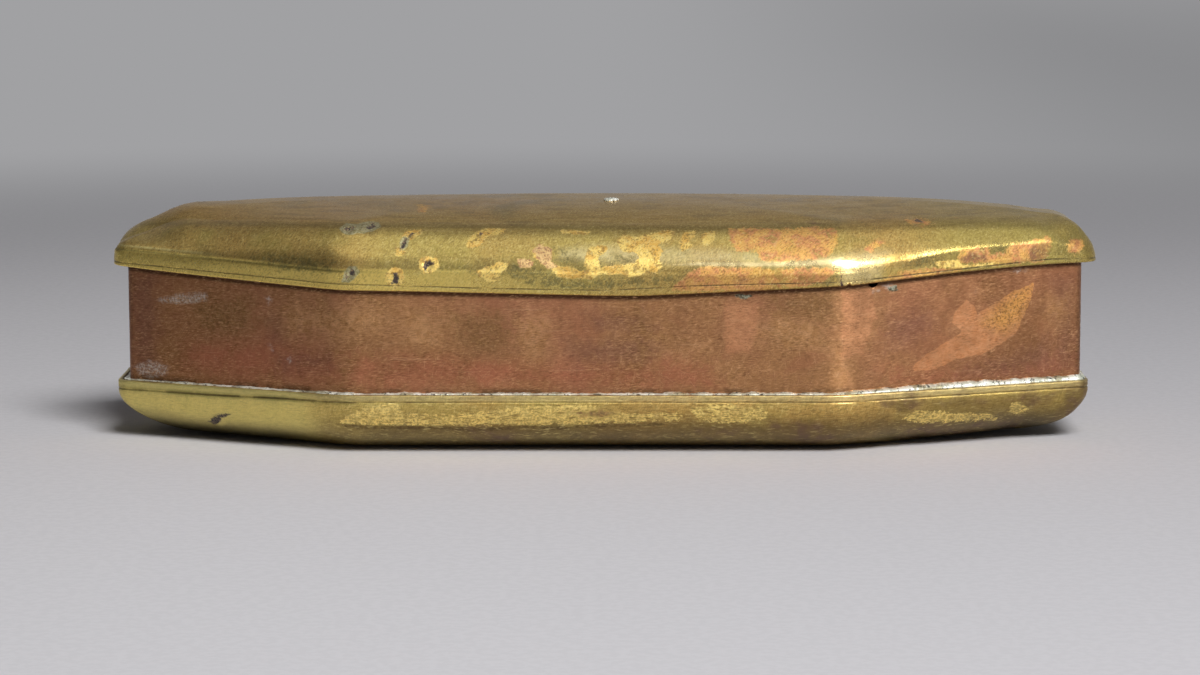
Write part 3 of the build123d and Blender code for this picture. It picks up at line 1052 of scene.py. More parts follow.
# Each kind of mark, with its border in pixels
lid_marks = {
    "gold": (gold_patches, 4.0),
    "copper": (copper_patches, 5.0),
    "brown": (brown_patches, 5.0),
    "pit": (pit_patches, 3.2),
    "ring": (ring_patches, 3.0),
    "rose": (rose_patches, 4.0),
    "sheen": (sheen_patches, 7.0),
    "glint": (glint_patches, 2.2),
    "shoulder": (shoulder_shade_patches, 3.0),
    "crack": (crack_patches, 1.0),
    "tarnish": (tarnish_patches, 8.0),
}
base_marks = {
    "gold": (base_gold_patches, 6.0),
    "brown": (base_brown_patches, 5.0),
    "border": (base_border_patches, 2.0),
    "shade": (base_shade_patches, 9.0),
    "pit": (base_pit_patches, 3.2),
}
wall_marks = {
    "light": (wall_light_patches, 4.0),
    "gold": (wall_gold_patches, 9.0),
    "clean": (wall_clean_patches, 7.0),
    "purple": (wall_purple_patches, 15.0),
    "red": (wall_red_patches, 15.0),
    "tan": (wall_tan_patches, 16.0),
    "dark": (wall_dark_patches, 16.0),
    "pale": (wall_pale_patches, 3.5),
    "teal": (wall_teal_patches, 2.5),
}


def inside_by(places, corners):
    """How many pixels each place is inside a patch; negative outside."""
    points = np.array(corners, float)
    nearest = np.full(len(places), 1e9)
    inside = np.zeros(len(places), bool)
    x, y = places[:, 0], places[:, 1]
    for first, second in zip(points, np.roll(points, -1, axis=0)):
        side = second - first
        share = np.clip(((places - first) @ side) / (side @ side), 0, 1)
        away = np.hypot(x - first[0] - share * side[0], y - first[1] - share * side[1])
        nearest = np.minimum(nearest, away)
        if first[1] != second[1]:
            crosses = (first[1] > y) != (second[1] > y)
            meets = first[0] + (y - first[1]) * side[0] / side[1]
            inside ^= crosses & (x < meets)
    return np.where(inside, nearest, -nearest)


def keep_values(piece, name, values):
    """Keeps one number for each point on the mesh, for the material to read."""
    layer = piece.data.attributes.new(name, "FLOAT", "POINT")
    layer.data.foreach_set("value", np.asarray(values, np.float32))


def keep_marks(piece, outer, marks):
    """Keeps how near each point is to each kind of mark, 0.5 at its border, and which points are unseen."""
    points, normals = coordinates(piece)
    places = photo_place(points)
    towards = seen(points, normals)
    on_side = towards * outer
    for name, (patches, border) in marks.items():
        nearness = np.zeros(len(points))
        for corners in patches.values():
            low = np.min(corners, axis=0) - 3 * border
            high = np.max(corners, axis=0) + 3 * border
            near = np.all((places > low) & (places < high), axis=1) & (on_side > 0)
            if near.any():
                value = np.clip(0.5 + inside_by(places[near], corners) / (2 * border), 0, 1)
                nearness[near] = np.maximum(nearness[near], value * on_side[near])
        keep_values(piece, name, nearness)

    # The inner skin, and what the photograph doesn't show of the outer one, with part of the crown
    keep_values(piece, "inside", 1 - outer)
    turned_up = smooth(0.9, 0.97, normals[:, 2])
    keep_values(piece, "unseen", np.maximum(1 - towards, 0.75 * turned_up) * outer)


def keep_line(piece, name, height, half, outer):
    """1 along a thin line at a height for each point, for dirt in it."""
    points, normals = coordinates(piece)
    upright = np.abs(normals[:, 2]) < 0.9
    keep_values(piece, name, np.clip(1 - np.abs(points[:, 2] - height) / half, 0, 1) * outer * upright)


# The lid: its plain strip, incised line, the dirt and painted shade in the corner under its crease and the
# painted highlight on the lip over it
keep_marks(lid, lid_outer, lid_marks)
lid_points, _ = coordinates(lid)
lid_crease = along(crease_curve, lid_points[:, 0])
on_strip = smooth(lid_crease + 0.5 * mm, lid_crease - 0.1 * mm, lid_points[:, 2])
keep_values(lid, "strip", on_strip * lid_outer)
keep_line(lid, "line", along(line_curve, lid_points[:, 0]), 0.2 * mm, lid_outer)
keep_line(lid, "crease", lid_crease - 0.15 * mm, 0.32 * mm, lid_outer)
keep_line(lid, "lip", lid_crease + 0.5 * mm, 0.25 * mm, lid_outer)

# The base: dirt in its groove and the stain beside it
keep_marks(base, base_outer, base_marks)
base_points, _ = coordinates(base)
base_groove = groove_level(base_points[:, 0])
keep_line(base, "line", base_groove, 0.22 * mm, base_outer)
keep_line(base, "stain", base_groove, 0.6 * mm, base_outer)

# The band: dirt and painted shade just under the lid's edge, and a darker band just over the solder
wall_points, wall_normals = coordinates(wall)
outwards = wall_points[:, :2] * np.array((0.3, 1.0))
wall_outer = ((wall_normals[:, :2] * outwards).sum(axis=1) > 0).astype(float)
keep_marks(wall, wall_outer, wall_marks)
lid_edge = along(edge_curve, wall_points[:, 0])
keep_values(wall, "grime_and_shade", smooth(lid_edge - 1.3 * mm, lid_edge - 0.35 * mm, wall_points[:, 2]))
keep_values(wall, "foot", smooth(11.1 * mm, 10.2 * mm, wall_points[:, 2]))


# Materials

class Nodes:
    """Short calls for building the nodes of a material or the world. Its colour is built up in layers."""

    def __init__(self, owner):
        self.owner = owner
        owner.use_nodes = True
        self.tree = owner.node_tree
        self.tree.nodes.clear()
        self.place = self.add("ShaderNodeTexCoord").outputs["Object"]
        self.parts = self.split(self.place)

    def add(self, kind, inputs=None, **settings):
        """A node with some of its own settings, its sockets linked or set."""
        made = self.tree.nodes.new(kind)
        for key, value in settings.items():
            setattr(made, key, value)
        for key, value in (inputs or {}).items():
            if isinstance(value, bpy.types.NodeSocket):
                self.tree.links.new(value, made.inputs[key])
            else:
                made.inputs[key].default_value = value
        return made

    def split(self, vector):
        """The X, Y and Z of a vector."""
        return self.add("ShaderNodeSeparateXYZ", {0: vector}).outputs

    def vector(self, operation, *values):
        """One sum of vectors."""
        return self.add("ShaderNodeVectorMath", dict(enumerate(values)), operation=operation).outputs[0]

    def wavy(self, scale, reach):
        """The object's own coordinates, pushed about softly by up to reach."""
        cloud = self.add("ShaderNodeTexNoise", {"Vector": self.place, "Scale": scale})
        centred = self.vector("SUBTRACT", cloud.outputs["Color"], (0.5, 0.5, 0.5))
        return self.vector("MULTIPLY_ADD", centred, (reach, reach, reach), self.place)

    def noise(self, scale, detail, roughness, distortion=0.0, vector=None):
        """Noise with that many features to a metre."""
        return self.add("ShaderNodeTexNoise", {
            "Vector": vector or self.place,
            "Scale": scale,
            "Detail": detail,
            "Roughness": roughness,
            "Distortion": distortion,
        }).outputs["Fac"]

    def strokes(self, turn, length, width, vector=None):
        """Noise drawn out into strokes of that length and width in millimetres, turned about the Y axis."""
        inputs = {"Vector": vector or self.place, "Angle": turn}
        turned = self.add("ShaderNodeVectorRotate", inputs, rotation_type="Y_AXIS").outputs[0]
        finer = (1 / (length * mm), 1 / (length * mm), 1 / (width * mm))
        return self.noise(1, 3, 0.6, vector=self.vector("MULTIPLY", turned, finer))

    def steps(self, value, low, high, from_value=0.0, to_value=1.0):
        """A number from from_value to to_value as value goes from low to high, softly."""
        inputs = {"Value": value, "From Min": low, "From Max": high, "To Min": from_value, "To Max": to_value}
        return self.add("ShaderNodeMapRange", inputs, interpolation_type="SMOOTHSTEP").outputs["Result"]

    def across(self, axis, low, high, from_value=0.0, to_value=1.0):
        """The same between two places along an axis, in millimetres."""
        return self.steps(self.parts[axis], low * mm, high * mm, from_value, to_value)

    def math(self, operation, first, *others):
        """A sum of numbers, taken two at a time."""
        for other in others:
            first = self.add("ShaderNodeMath", {0: first, 1: other}, operation=operation).outputs[0]
        return first

    def times(self, *values):
        """Values multiplied together."""
        return self.math("MULTIPLY", *values)

    def plus(self, *values):
        """Values added up."""
        return self.math("ADD", *values)

    def most(self, *values):
        """The greatest of some values."""
        return self.math("MAXIMUM", *values)

    def swing(self, noise, reach):
        """A noise about nought, from half of reach below it to half above."""
        return self.times(self.math("SUBTRACT", noise, 0.5), reach)

    def mix(self, amount, first, second):
        """Two colours mixed by an amount."""
        return self.add("ShaderNodeMix", {"Factor": amount, 6: first, 7: second}, data_type="RGBA").outputs[2]

    def layered(self, colour, *layers):
        """A colour under tones, each as (noise, low, high, cover at low, cover at high, tone)."""
        for noise, low, high, from_cover, to_cover, tone in layers:
            colour = self.mix(self.steps(noise, low, high, from_cover, to_cover), colour, tone)
        return colour

    def two_tone(self, noise, low, high, first, second):
        """A first tone where noise is low and a second where it is high."""
        return self.layered(first, (noise, low, high, 0.0, 1.0, second))

    def cover(self, amount, tone):
        """Lays a tone over the colour so far."""
        self.colour = self.mix(amount, self.colour, tone)

    def kept(self, name):
        """A number kept on the mesh."""
        return self.add("ShaderNodeAttribute", attribute_type="GEOMETRY", attribute_name=name).outputs["Fac"]

    def ragged(self, name, noise, spread, low, high, *factors):
        """A patch's cover, its border made uneven by noise, times further factors."""
        nearness = self.plus(self.kept(name), self.swing(noise, spread))
        return self.times(self.steps(nearness, low, high), *factors)

    def bumps(self, *layers):
        """Bumps over one another, each as (height, distance in millimetres, strength)."""
        below = {}
        for height, distance, strength in layers:
            inputs = {"Height": height, "Distance": distance * mm, "Strength": strength, **below}
            below = {"Normal": self.add("ShaderNodeBump", inputs).outputs["Normal"]}
        return below["Normal"]

    def finish(self, inputs):
        """The shader and the output."""
        shader = self.add("ShaderNodeBsdfPrincipled", {"Base Color": self.colour, **inputs})
        self.add("ShaderNodeOutputMaterial", {"Surface": shader.outputs[0]})
        return self.owner


def rgb(red, green, blue):
    """A colour written as the picture shows it, 0 to 255."""
    linear = []
    for value in (red, green, blue):
        share = value / 255
        linear.append(share / 12.92 if share <= 0.04045 else ((share + 0.055) / 1.055) ** 2.4)
    return (*linear, 1.0)


brass_olive = rgb(204, 180, 96)
brass_green = rgb(168, 154, 74)
brass_warm = rgb(208, 168, 90)
brass_brown = rgb(154, 124, 62)
brass_light = rgb(248, 224, 142)
gold_tone = rgb(254, 220, 122)
gold_deep = rgb(236, 188, 92)


def brass_noises(n, footed):
    """The clouds, specks and strokes that old brass is drawn with."""
    n.broad = n.noise(38, 3, 0.5)
    n.middle = n.noise(170, 5, 0.62)
    n.mottled = n.noise(430, 4, 0.6)
    n.fine = n.noise(900, 5, 0.66)
    n.speck = n.noise(2600, 4, 0.7)
    wavy = n.wavy(60, 4 * mm)
    n.dust = n.strokes(0.15, 0.7, 0.17, wavy)
    n.grit = n.strokes(0.0, 1.3, 0.22, wavy) if footed else n.strokes(0.7, 0.45, 0.22, wavy)
    n.hairs = n.most(n.strokes(1.35, 1.0, 0.15, wavy), n.strokes(0.85, 1.0, 0.15, wavy))
    n.grain = n.strokes(1.3, 1.8, 0.22, wavy)
    n.rubs = n.strokes(0.5, 3.2, 0.2, wavy)
    n.level_rubs = n.strokes(0.0, 6.0, 0.3)
    n.edge = n.plus(n.times(n.fine, 0.55), n.times(n.speck, 0.45))


def brass_colour(n):
    """The even ground of old brass."""
    n.colour = n.layered(
        brass_olive,
        (n.broad, 0.35, 0.65, 0.0, 1.0, brass_warm),
        (n.middle, 0.48, 0.7, 0.0, 0.5, brass_green),
        (n.fine, 0.5, 0.72, 0.0, 0.45, brass_brown),
        (n.grain, 0.28, 0.46, 0.35, 0.0, brass_brown),
        (n.grain, 0.54, 0.7, 0.0, 0.3, brass_light),
        (n.rubs, 0.58, 0.72, 0.0, 0.25, brass_light),
        (n.level_rubs, 0.32, 0.44, 0.25, 0.0, brass_brown),
        (n.speck, 0.54, 0.68, 0.0, 0.4, brass_light),
        (n.dust, 0.3, 0.48, 0.4, 0.0, rgb(120, 94, 44)),
        (n.hairs, 0.42, 0.54, 0.4, 0.0, rgb(128, 100, 44)),
        (n.hairs, 0.6, 0.74, 0.0, 0.5, rgb(255, 232, 150)),
    )


def base_colour(n):
    """What differs over the base: painted shade underneath and by the floor, a painted highlight along the
    rim, paler at the left.
    """
    # Painted shade low on the dish, less of it at the left
    low = n.plus(n.parts["Z"], n.swing(n.middle, 6 * mm))
    underside_shade = n.times(n.steps(low, 3.5 * mm, 7.8 * mm, 0.8, 0.0), n.steps(low, 1 * mm, 3.8 * mm, 0.48, 1.0))
    n.cover(n.times(underside_shade, n.across("X", -55, -30, 0.4, 1.0)), rgb(104, 84, 50))
    # Painted highlight along the rim strip
    n.cover(n.across("Z", 8.4, 9.2, 0.0, 0.35), rgb(206, 192, 148))
    left_part = n.times(n.across("X", -50, -40, 0.55, 0.0), n.steps(n.broad, 0.4, 0.6, 0.3, 1.0))
    n.cover(left_part, rgb(240, 230, 138))
    # Painted shade where the underside faces down, most at the ends
    facing = n.split(n.add("ShaderNodeNewGeometry").outputs["Normal"])
    ends = n.steps(n.math("ABSOLUTE", n.parts["X"], 0.0), 45 * mm, 55 * mm, 0.5, 1.0)
    n.cover(n.times(n.steps(facing["Z"], -0.97, -0.6, 0.85, 0.0), ends), rgb(52, 42, 26))
    stain = n.times(n.kept("stain"), n.across("X", -50, -35, 0.8, 0.0))
    n.cover(n.times(stain, n.steps(n.middle, 0.38, 0.6, 0.3, 1.0)), rgb(96, 88, 26))
    shade = n.ragged("shade", n.middle, 2.4, 0.2, 0.9, 0.78)
    n.cover(shade, n.two_tone(n.mottled, 0.4, 0.6, rgb(118, 88, 70), rgb(130, 106, 62)))


def lid_colour(n):
    """What differs over the lid: its plain strip, a painted sheen, dirt and painted shade in the crease, a
    painted highlight on its lip and painted shade along the crown's edge.
    """
    n.cover(n.times(n.kept("strip"), n.across("X", -40, 10, 0.75, 0.1)), rgb(250, 220, 116))
    # Painted sheen along the ridge and beside the fold
    sheen = n.times(n.steps(n.kept("sheen"), 0.0, 1.0), n.steps(n.fine, 0.3, 0.6, 0.55, 0.3))
    n.cover(sheen, rgb(255, 238, 180))
    # Dirt and painted shade in the corner under the crease, towards the left
    n.cover(n.times(n.kept("crease"), n.across("X", -45, -30, 0.75, 0.0)), rgb(84, 78, 30))
    # A painted highlight on the lip over the crease, at the left end
    lip = n.times(n.kept("lip"), n.across("X", -66, -60, 0.8, 0.0), n.steps(n.middle, 0.4, 0.6, 0.5, 1.0))
    n.cover(lip, rgb(255, 240, 160))
    # Painted shade along the edge of the crown
    n.cover(n.ragged("shoulder", n.fine, 0.8, 0.1, 0.9, 0.4), rgb(100, 84, 34))


def copper_marks(n, footed, stains, unseen):
    """Orange places where the brass has lost its zinc. Gives their cover."""
    orange = n.layered(
        rgb(248, 188, 104),
        (n.mottled, 0.4, 0.6, 0.0, 1.0, rgb(226, 148, 102)),
        (n.middle, 0.5, 0.62, 0.0, 0.75, gold_deep),
        (n.mottled, 0.56, 0.66, 0.0, 0.6, brass_green),
        (n.speck, 0.54, 0.66, 0.0, 0.5, gold_tone),
        (n.grit, 0.34, 0.5, 0.5, 0.0, rgb(176, 112, 66)),
    )
    behind = n.times(n.steps(stains, 0.3, 0.36, 1.0, 0.0), unseen)
    coppery = n.most(n.ragged("copper", n.edge, 1.9, 0.36, 0.66), behind)
    n.cover(n.times(coppery, 0.88), orange)
    if not footed:
        n.cover(n.times(coppery, n.kept("strip"), 0.4), rgb(140, 96, 52))
    return coppery


def gold_marks(n, footed, unseen):
    """Bright yellow places, with a dark border under those on the base. Gives their cover."""
    behind = n.times(n.steps(n.noise(62, 9, 0.66, 0.4), 0.63, 0.66), n.steps(unseen, 0.76, 0.95))
    gold = n.most(n.ragged("gold", n.edge, 1.7, 0.42, 0.58), behind)
    if footed:
        yellow = n.layered(
            rgb(252, 226, 138),
            (n.speck, 0.42, 0.56, 0.6, 0.0, rgb(164, 136, 66)),
            (n.grit, 0.34, 0.46, 0.6, 0.0, rgb(132, 106, 52)),
        )
        gold = n.times(gold, n.steps(n.fine, 0.38, 0.54, 0.4, 0.95))
        n.cover(gold, yellow)
        border = n.ragged("border", n.edge, 2.0, 0.3, 0.62, n.steps(n.fine, 0.4, 0.56, 0.15, 0.7))
        n.cover(border, rgb(88, 66, 36))
        return gold
    n.cover(gold, n.layered(
        gold_tone,
        (n.mottled, 0.42, 0.6, 0.0, 1.0, gold_deep),
        (n.speck, 0.52, 0.66, 0.0, 0.45, rgb(252, 234, 166)),
        (n.fine, 0.53, 0.6, 0.0, 0.7, rgb(150, 116, 60)),
        (n.grit, 0.34, 0.48, 0.45, 0.0, rgb(150, 112, 52)),
    ))
    return gold


def brass_marks(n, footed, roughness):
    """The patches, wear and painted light and shade kept on a brass mesh. Gives the shader's roughness, metal
    and coat.
    """
    # The crown's top is browner, partly tarnish and partly a painted tone of its reflection, and paler
    # towards the left
    high = n.across("Z", 34.5, 37.5, 0.0, 0.5)
    n.cover(high, rgb(190, 142, 76))
    n.cover(n.times(n.across("X", -62, -20, 0.4, 0.0), high), rgb(236, 190, 130))
    # Painted shade, tinted green, towards the right end
    n.cover(n.across("X", 44, 56, 0.0, 0.35), brass_green)
    if footed:
        base_colour(n)
    else:
        lid_colour(n)
    unseen = n.kept("unseen")
    stains = n.noise(48, 8, 0.62, 0.8)
    broken = n.steps(n.plus(n.fine, n.speck), 0.85, 1.15, 0.2, 1.0)
    tarnish = n.ragged("tarnish", n.edge, 2.4, 0.25, 0.85, 0.72, broken)
    n.cover(n.most(tarnish, n.times(n.steps(stains, 0.52, 0.68, 0.0, 0.55), unseen)), rgb(104, 100, 60))
    coppery = copper_marks(n, footed, stains, unseen)
    gold = gold_marks(n, footed, unseen)
    rose_tones = n.two_tone(n.speck, 0.48, 0.58, rgb(236, 198, 140), rgb(168, 112, 84))
    n.cover(n.ragged("rose", n.edge, 1.7, 0.42, 0.6, 0.85), rose_tones)
    brown_tones = n.two_tone(n.speck, 0.45, 0.6, rgb(112, 82, 66), rgb(160, 112, 70))
    n.cover(n.ragged("brown", n.edge, 2.6, 0.36, 0.8, 0.72), brown_tones)
    line = n.times(n.steps(n.kept("line"), 0.1, 0.8, 0.0, 0.85), n.steps(n.middle, 0.3, 0.55))
    n.cover(line, rgb(70, 60, 38))
    ring_tones = n.two_tone(n.speck, 0.45, 0.58, rgb(216, 212, 172), rgb(154, 150, 104))
    n.cover(n.ragged("ring", n.edge, 1.2, 0.4, 0.6, 0.72), ring_tones)
    small_pits = n.times(n.steps(n.noise(330, 2, 0.4, 1.0), 0.76, 0.78), unseen)
    pit = n.most(n.ragged("pit", n.edge, 1.9, 0.42, 0.62), small_pits)
    n.cover(pit, n.layered(rgb(46, 36, 38), (n.speck, 0.54, 0.62, 0.0, 0.85, rgb(158, 130, 100))))
    gritty = [n.across("X", -52, -40, 0.4, 1.0)] if footed else []
    dark_grit = n.times(n.steps(n.grit, 0.34, 0.5, 0.5, 0.0), n.steps(n.broad, 0.4, 0.6, 0.45, 0.85), *gritty)
    n.cover(dark_grit, rgb(108, 86, 40))
    light_grit = n.times(n.steps(n.grit, 0.54, 0.7, 0.0, 0.5), n.steps(n.broad, 0.4, 0.6, 0.85, 0.5), *gritty)
    n.cover(light_grit, rgb(255, 236, 158))
    # A painted highlight along the top of the lid's strip
    if not footed:
        n.cover(n.ragged("glint", n.fine, 1.0, 0.2, 0.9, 0.75), rgb(255, 232, 170))
    crack = n.ragged("crack", n.speck, 0.8, 0.42, 0.6)
    n.cover(crack, rgb(74, 50, 34))
    n.cover(n.times(n.steps(n.level_rubs, 0.36, 0.5, 0.6, 0.0), high), rgb(112, 88, 48))
    n.cover(n.times(n.steps(n.level_rubs, 0.54, 0.68, 0.0, 0.5), high), rgb(236, 206, 150))
    inside = n.kept("inside")
    n.cover(n.times(inside, 0.85), n.two_tone(n.middle, 0.4, 0.65, rgb(150, 130, 88), rgb(112, 98, 70)))
    worn = n.times(n.most(gold, coppery), 0.14)
    roughness = n.plus(roughness, worn, n.times(pit, 0.4), n.times(inside, 0.15))
    metal = n.math("SUBTRACT", 1.0, n.times(n.most(pit, crack), 0.8))
    return roughness, metal, n.across("Z", 33.5, 37, 0.45, 0.36)


def brass(name, marked, lighter=0.0, rougher=0.0, footed=False):
    """Old rubbed brass: uneven colour, fine strokes and, where marked, the patches kept on the mesh."""
    n = Nodes(bpy.data.materials.new(name))
    brass_noises(n, footed)
    brass_colour(n)
    if lighter:
        n.cover(lighter, brass_light)
    least = 0.22 + rougher
    roughness = n.plus(n.steps(n.middle, 0.3, 0.7, least, least + 0.1), n.steps(n.fine, 0.4, 0.7, 0.0, 0.08))
    metal = 1.0
    waxed = 0.3
    if marked:
        roughness, metal, waxed = brass_marks(n, footed, roughness)
    return n.finish({
        "Roughness": roughness,
        "Metallic": metal,
        "Coat Weight": waxed,
        "Coat Roughness": 0.38,
        "Specular Tint": rgb(253, 245, 230),
        "Normal": n.bumps(
            (n.speck, 0.05, 0.32), (n.grain, 0.04, 0.3), (n.rubs, 0.04, 0.25), (n.level_rubs, 0.04, 0.25),
            (n.fine, 0.08, 0.25),
        ),
    })


def copper(name):
    """The band's copper: red-brown, clouded with tan, olive and purple, lighter where it was stripped."""
    n = Nodes(bpy.data.materials.new(name))
    cloud = n.noise(42, 5, 0.58, 0.6)
    patchy = n.noise(100, 6, 0.62, 0.8)
    middle = n.noise(210, 6, 0.66, 0.5)
    fine = n.noise(760, 6, 0.7)
    speck = n.noise(2400, 4, 0.7)
    wavy = n.wavy(55, 8 * mm)
    rubs = [n.strokes(*stroke, wavy) for stroke in ((0.85, 1.8, 0.16), (-0.75, 1.5, 0.15), (1.45, 2.4, 0.16))]
    crossed = n.most(*rubs)
    level_rubs = n.strokes(0.0, 9.0, 0.3)
    weave = n.strokes(0.12, 0.8, 0.2)
    unseen = n.kept("unseen")
    soft = n.plus(n.times(middle, 0.5), n.times(fine, 0.5))
    n.colour = n.layered(
        rgb(187, 130, 95),
        (cloud, 0.38, 0.62, 0.0, 1.0, rgb(181, 133, 89)),
        (patchy, 0.5, 0.68, 0.0, 0.5, rgb(172, 132, 80)),
        (patchy, 0.32, 0.46, 0.45, 0.0, rgb(182, 120, 88)),
        (middle, 0.5, 0.66, 0.0, 0.35, rgb(206, 156, 112)),
        (fine, 0.46, 0.7, 0.0, 0.5, rgb(140, 98, 70)),
    )
    # Painted shade towards both ends of the band
    n.cover(n.across("X", -75, -36, 0.5, 0.0), rgb(140, 92, 60))
    n.cover(n.across("X", 34, 70, 0.12, 0.5), rgb(150, 98, 66))

    # Clouds, as (kind, spread, low, high, strength, where they lie behind, tone)
    height = n.plus(n.parts["Z"], n.swing(patchy, 10 * mm))
    red_tones = n.two_tone(patchy, 0.4, 0.6, rgb(184, 110, 84), rgb(168, 104, 76))
    tan_tones = n.two_tone(fine, 0.42, 0.6, rgb(216, 166, 116), rgb(184, 136, 86))
    dark_tones = n.two_tone(speck, 0.44, 0.6, rgb(124, 94, 58), rgb(160, 122, 76))
    for kind, spread, low, high, strength, behind, tone in (
        ("red", 2.2, 0.1, 1.1, 0.62, n.steps(height, 10 * mm, 18 * mm, 0.6, 0.0), red_tones),
        ("purple", 2.4, 0.15, 1.1, 0.6, n.steps(cloud, 0.34, 0.46, 0.5, 0.0), rgb(134, 92, 76)),
        ("tan", 2.6, 0.2, 1.1, 0.6, n.steps(middle, 0.5, 0.66, 0.0, 0.5), tan_tones),
        ("dark", 2.8, 0.15, 1.05, 0.66, n.steps(patchy, 0.54, 0.7, 0.0, 0.6), dark_tones),
    ):
        n.cover(n.most(n.ragged(kind, soft, spread, low, high, strength), n.times(behind, unseen)), tone)

    # Rubbed and stripped places
    n.cover(n.ragged("clean", fine, 1.2, 0.3, 0.7, 0.42), rgb(222, 156, 112))
    scratched = n.times(n.steps(crossed, 0.6, 0.74, 0.0, 0.38), n.steps(cloud, 0.42, 0.6, 0.3, 1.0))
    n.cover(scratched, rgb(232, 184, 138))
    n.cover(n.steps(level_rubs, 0.6, 0.72, 0.0, 0.25), rgb(226, 178, 134))
    n.cover(n.steps(crossed, 0.44, 0.54, 0.25, 0.0), rgb(120, 84, 60))
    light = n.ragged("light", fine, 0.7, 0.43, 0.57, 0.7)
    n.cover(light, n.two_tone(fine, 0.42, 0.62, rgb(222, 158, 110), rgb(206, 140, 92)))
    gilt_tones = n.two_tone(speck, 0.48, 0.62, rgb(226, 164, 92), rgb(150, 108, 62))
    n.cover(n.times(n.kept("gold"), light, 1.5), gilt_tones)

    # Solder left on the copper, dirt and painted shade under the lid's edge, a darker band over the solder
    # and the weave of fine rubbing
    pale = n.ragged("pale", middle, 1.6, 0.2, 0.9, n.steps(speck, 0.42, 0.6, 0.1, 0.75))
    n.cover(pale, rgb(216, 204, 190))
    teal_tones = n.two_tone(speck, 0.45, 0.6, rgb(64, 80, 66), rgb(170, 182, 160))
    n.cover(n.ragged("teal", fine, 1.6, 0.45, 0.6, 0.8), teal_tones)
    n.cover(n.steps(n.kept("grime_and_shade"), 0.05, 0.9, 0.0, 0.88), rgb(66, 44, 30))
    n.cover(n.times(n.kept("foot"), n.steps(middle, 0.44, 0.6, 0.1, 0.7)), rgb(84, 62, 42))
    woven = n.steps(patchy, 0.35, 0.65, 0.45, 1.0)
    n.cover(n.times(n.steps(weave, 0.32, 0.5, 0.52, 0.0), woven), rgb(92, 58, 38))
    n.cover(n.times(n.steps(weave, 0.52, 0.7, 0.0, 0.46), woven), rgb(240, 186, 136))
    dull = n.two_tone(middle, 0.4, 0.6, rgb(128, 92, 68), rgb(98, 76, 60))
    n.cover(n.times(n.kept("inside"), 0.8), dull)
    normal = n.bumps((speck, 0.04, 0.3), (crossed, 0.04, 0.35), (level_rubs, 0.03, 0.25), (fine, 0.12, 0.2))
    roughness = n.plus(n.steps(middle, 0.3, 0.7, 0.3, 0.42), n.steps(fine, 0.4, 0.7, 0.0, 0.08))
    return n.finish({"Roughness": roughness, "Metallic": 1.0, "Normal": normal})


def solder(name):
    """Dull tin-lead solder, whitish with a green cast and dark pits."""
    n = Nodes(bpy.data.materials.new(name))
    middle = n.noise(420, 4, 0.6)
    fine = n.noise(1500, 4, 0.65)
    n.colour = n.layered(
        rgb(250, 250, 238),
        (middle, 0.35, 0.65, 0.0, 1.0, rgb(216, 220, 200)),
        (n.noise(150, 4, 0.7), 0.52, 0.6, 0.0, 0.75, rgb(150, 138, 92)),
        (fine, 0.55, 0.62, 0.0, 0.9, rgb(58, 56, 50)),
    )
    return n.finish({
        "Roughness": n.steps(fine, 0.3, 0.7, 0.4, 0.6),
        "Metallic": n.steps(middle, 0.3, 0.7, 0.35, 0.75),
        "Normal": n.bumps((fine, 0.25, 0.6)),
    })


lid_brass = brass("lid_brass_old", True)
base_brass = brass("base_brass_old", True, lighter=0.06, rougher=0.14, footed=True)
hinge_brass = brass("hinge_brass_old", False)
band_copper = copper("band_copper_old")
grey_solder = solder("grey_solder")


def repaint(piece, material):
    """Gives a piece its one finish."""
    piece.data.materials.clear()
    piece.data.materials.append(material)


# Each piece stands for its solid and moves with it
for piece, node, body, slot, material in (
    (lid, "lid_shell", "lid", "lid_brass", lid_brass),
    (plug, "lid_solder_plug", "lid", "plug_solder", grey_solder),
    (base, "base_dish", "box_body", "base_brass", base_brass),
    (wall, "side_wall", "box_body", "wall_copper", band_copper),
    (bead, "base_solder", "box_body", "bead_solder", grey_solder),
):
    repaint(piece, material)
    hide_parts(node)
    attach(piece, body)

# The solids that stay in view
repaint(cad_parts["wall_seam_solder"], grey_solder)
hinge_nodes = ["body_hinge_strip", "lid_hinge_strip", "hinge_pin"]
hinge_nodes += [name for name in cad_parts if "knuckle" in name]
for node in hinge_nodes:
    repaint(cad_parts[node], hinge_brass)
    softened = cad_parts[node].modifiers.new("worn edges", "BEVEL")
    softened.width = 0.07 * mm
    softened.segments = 2
    softened.limit_method = "ANGLE"


# Floor

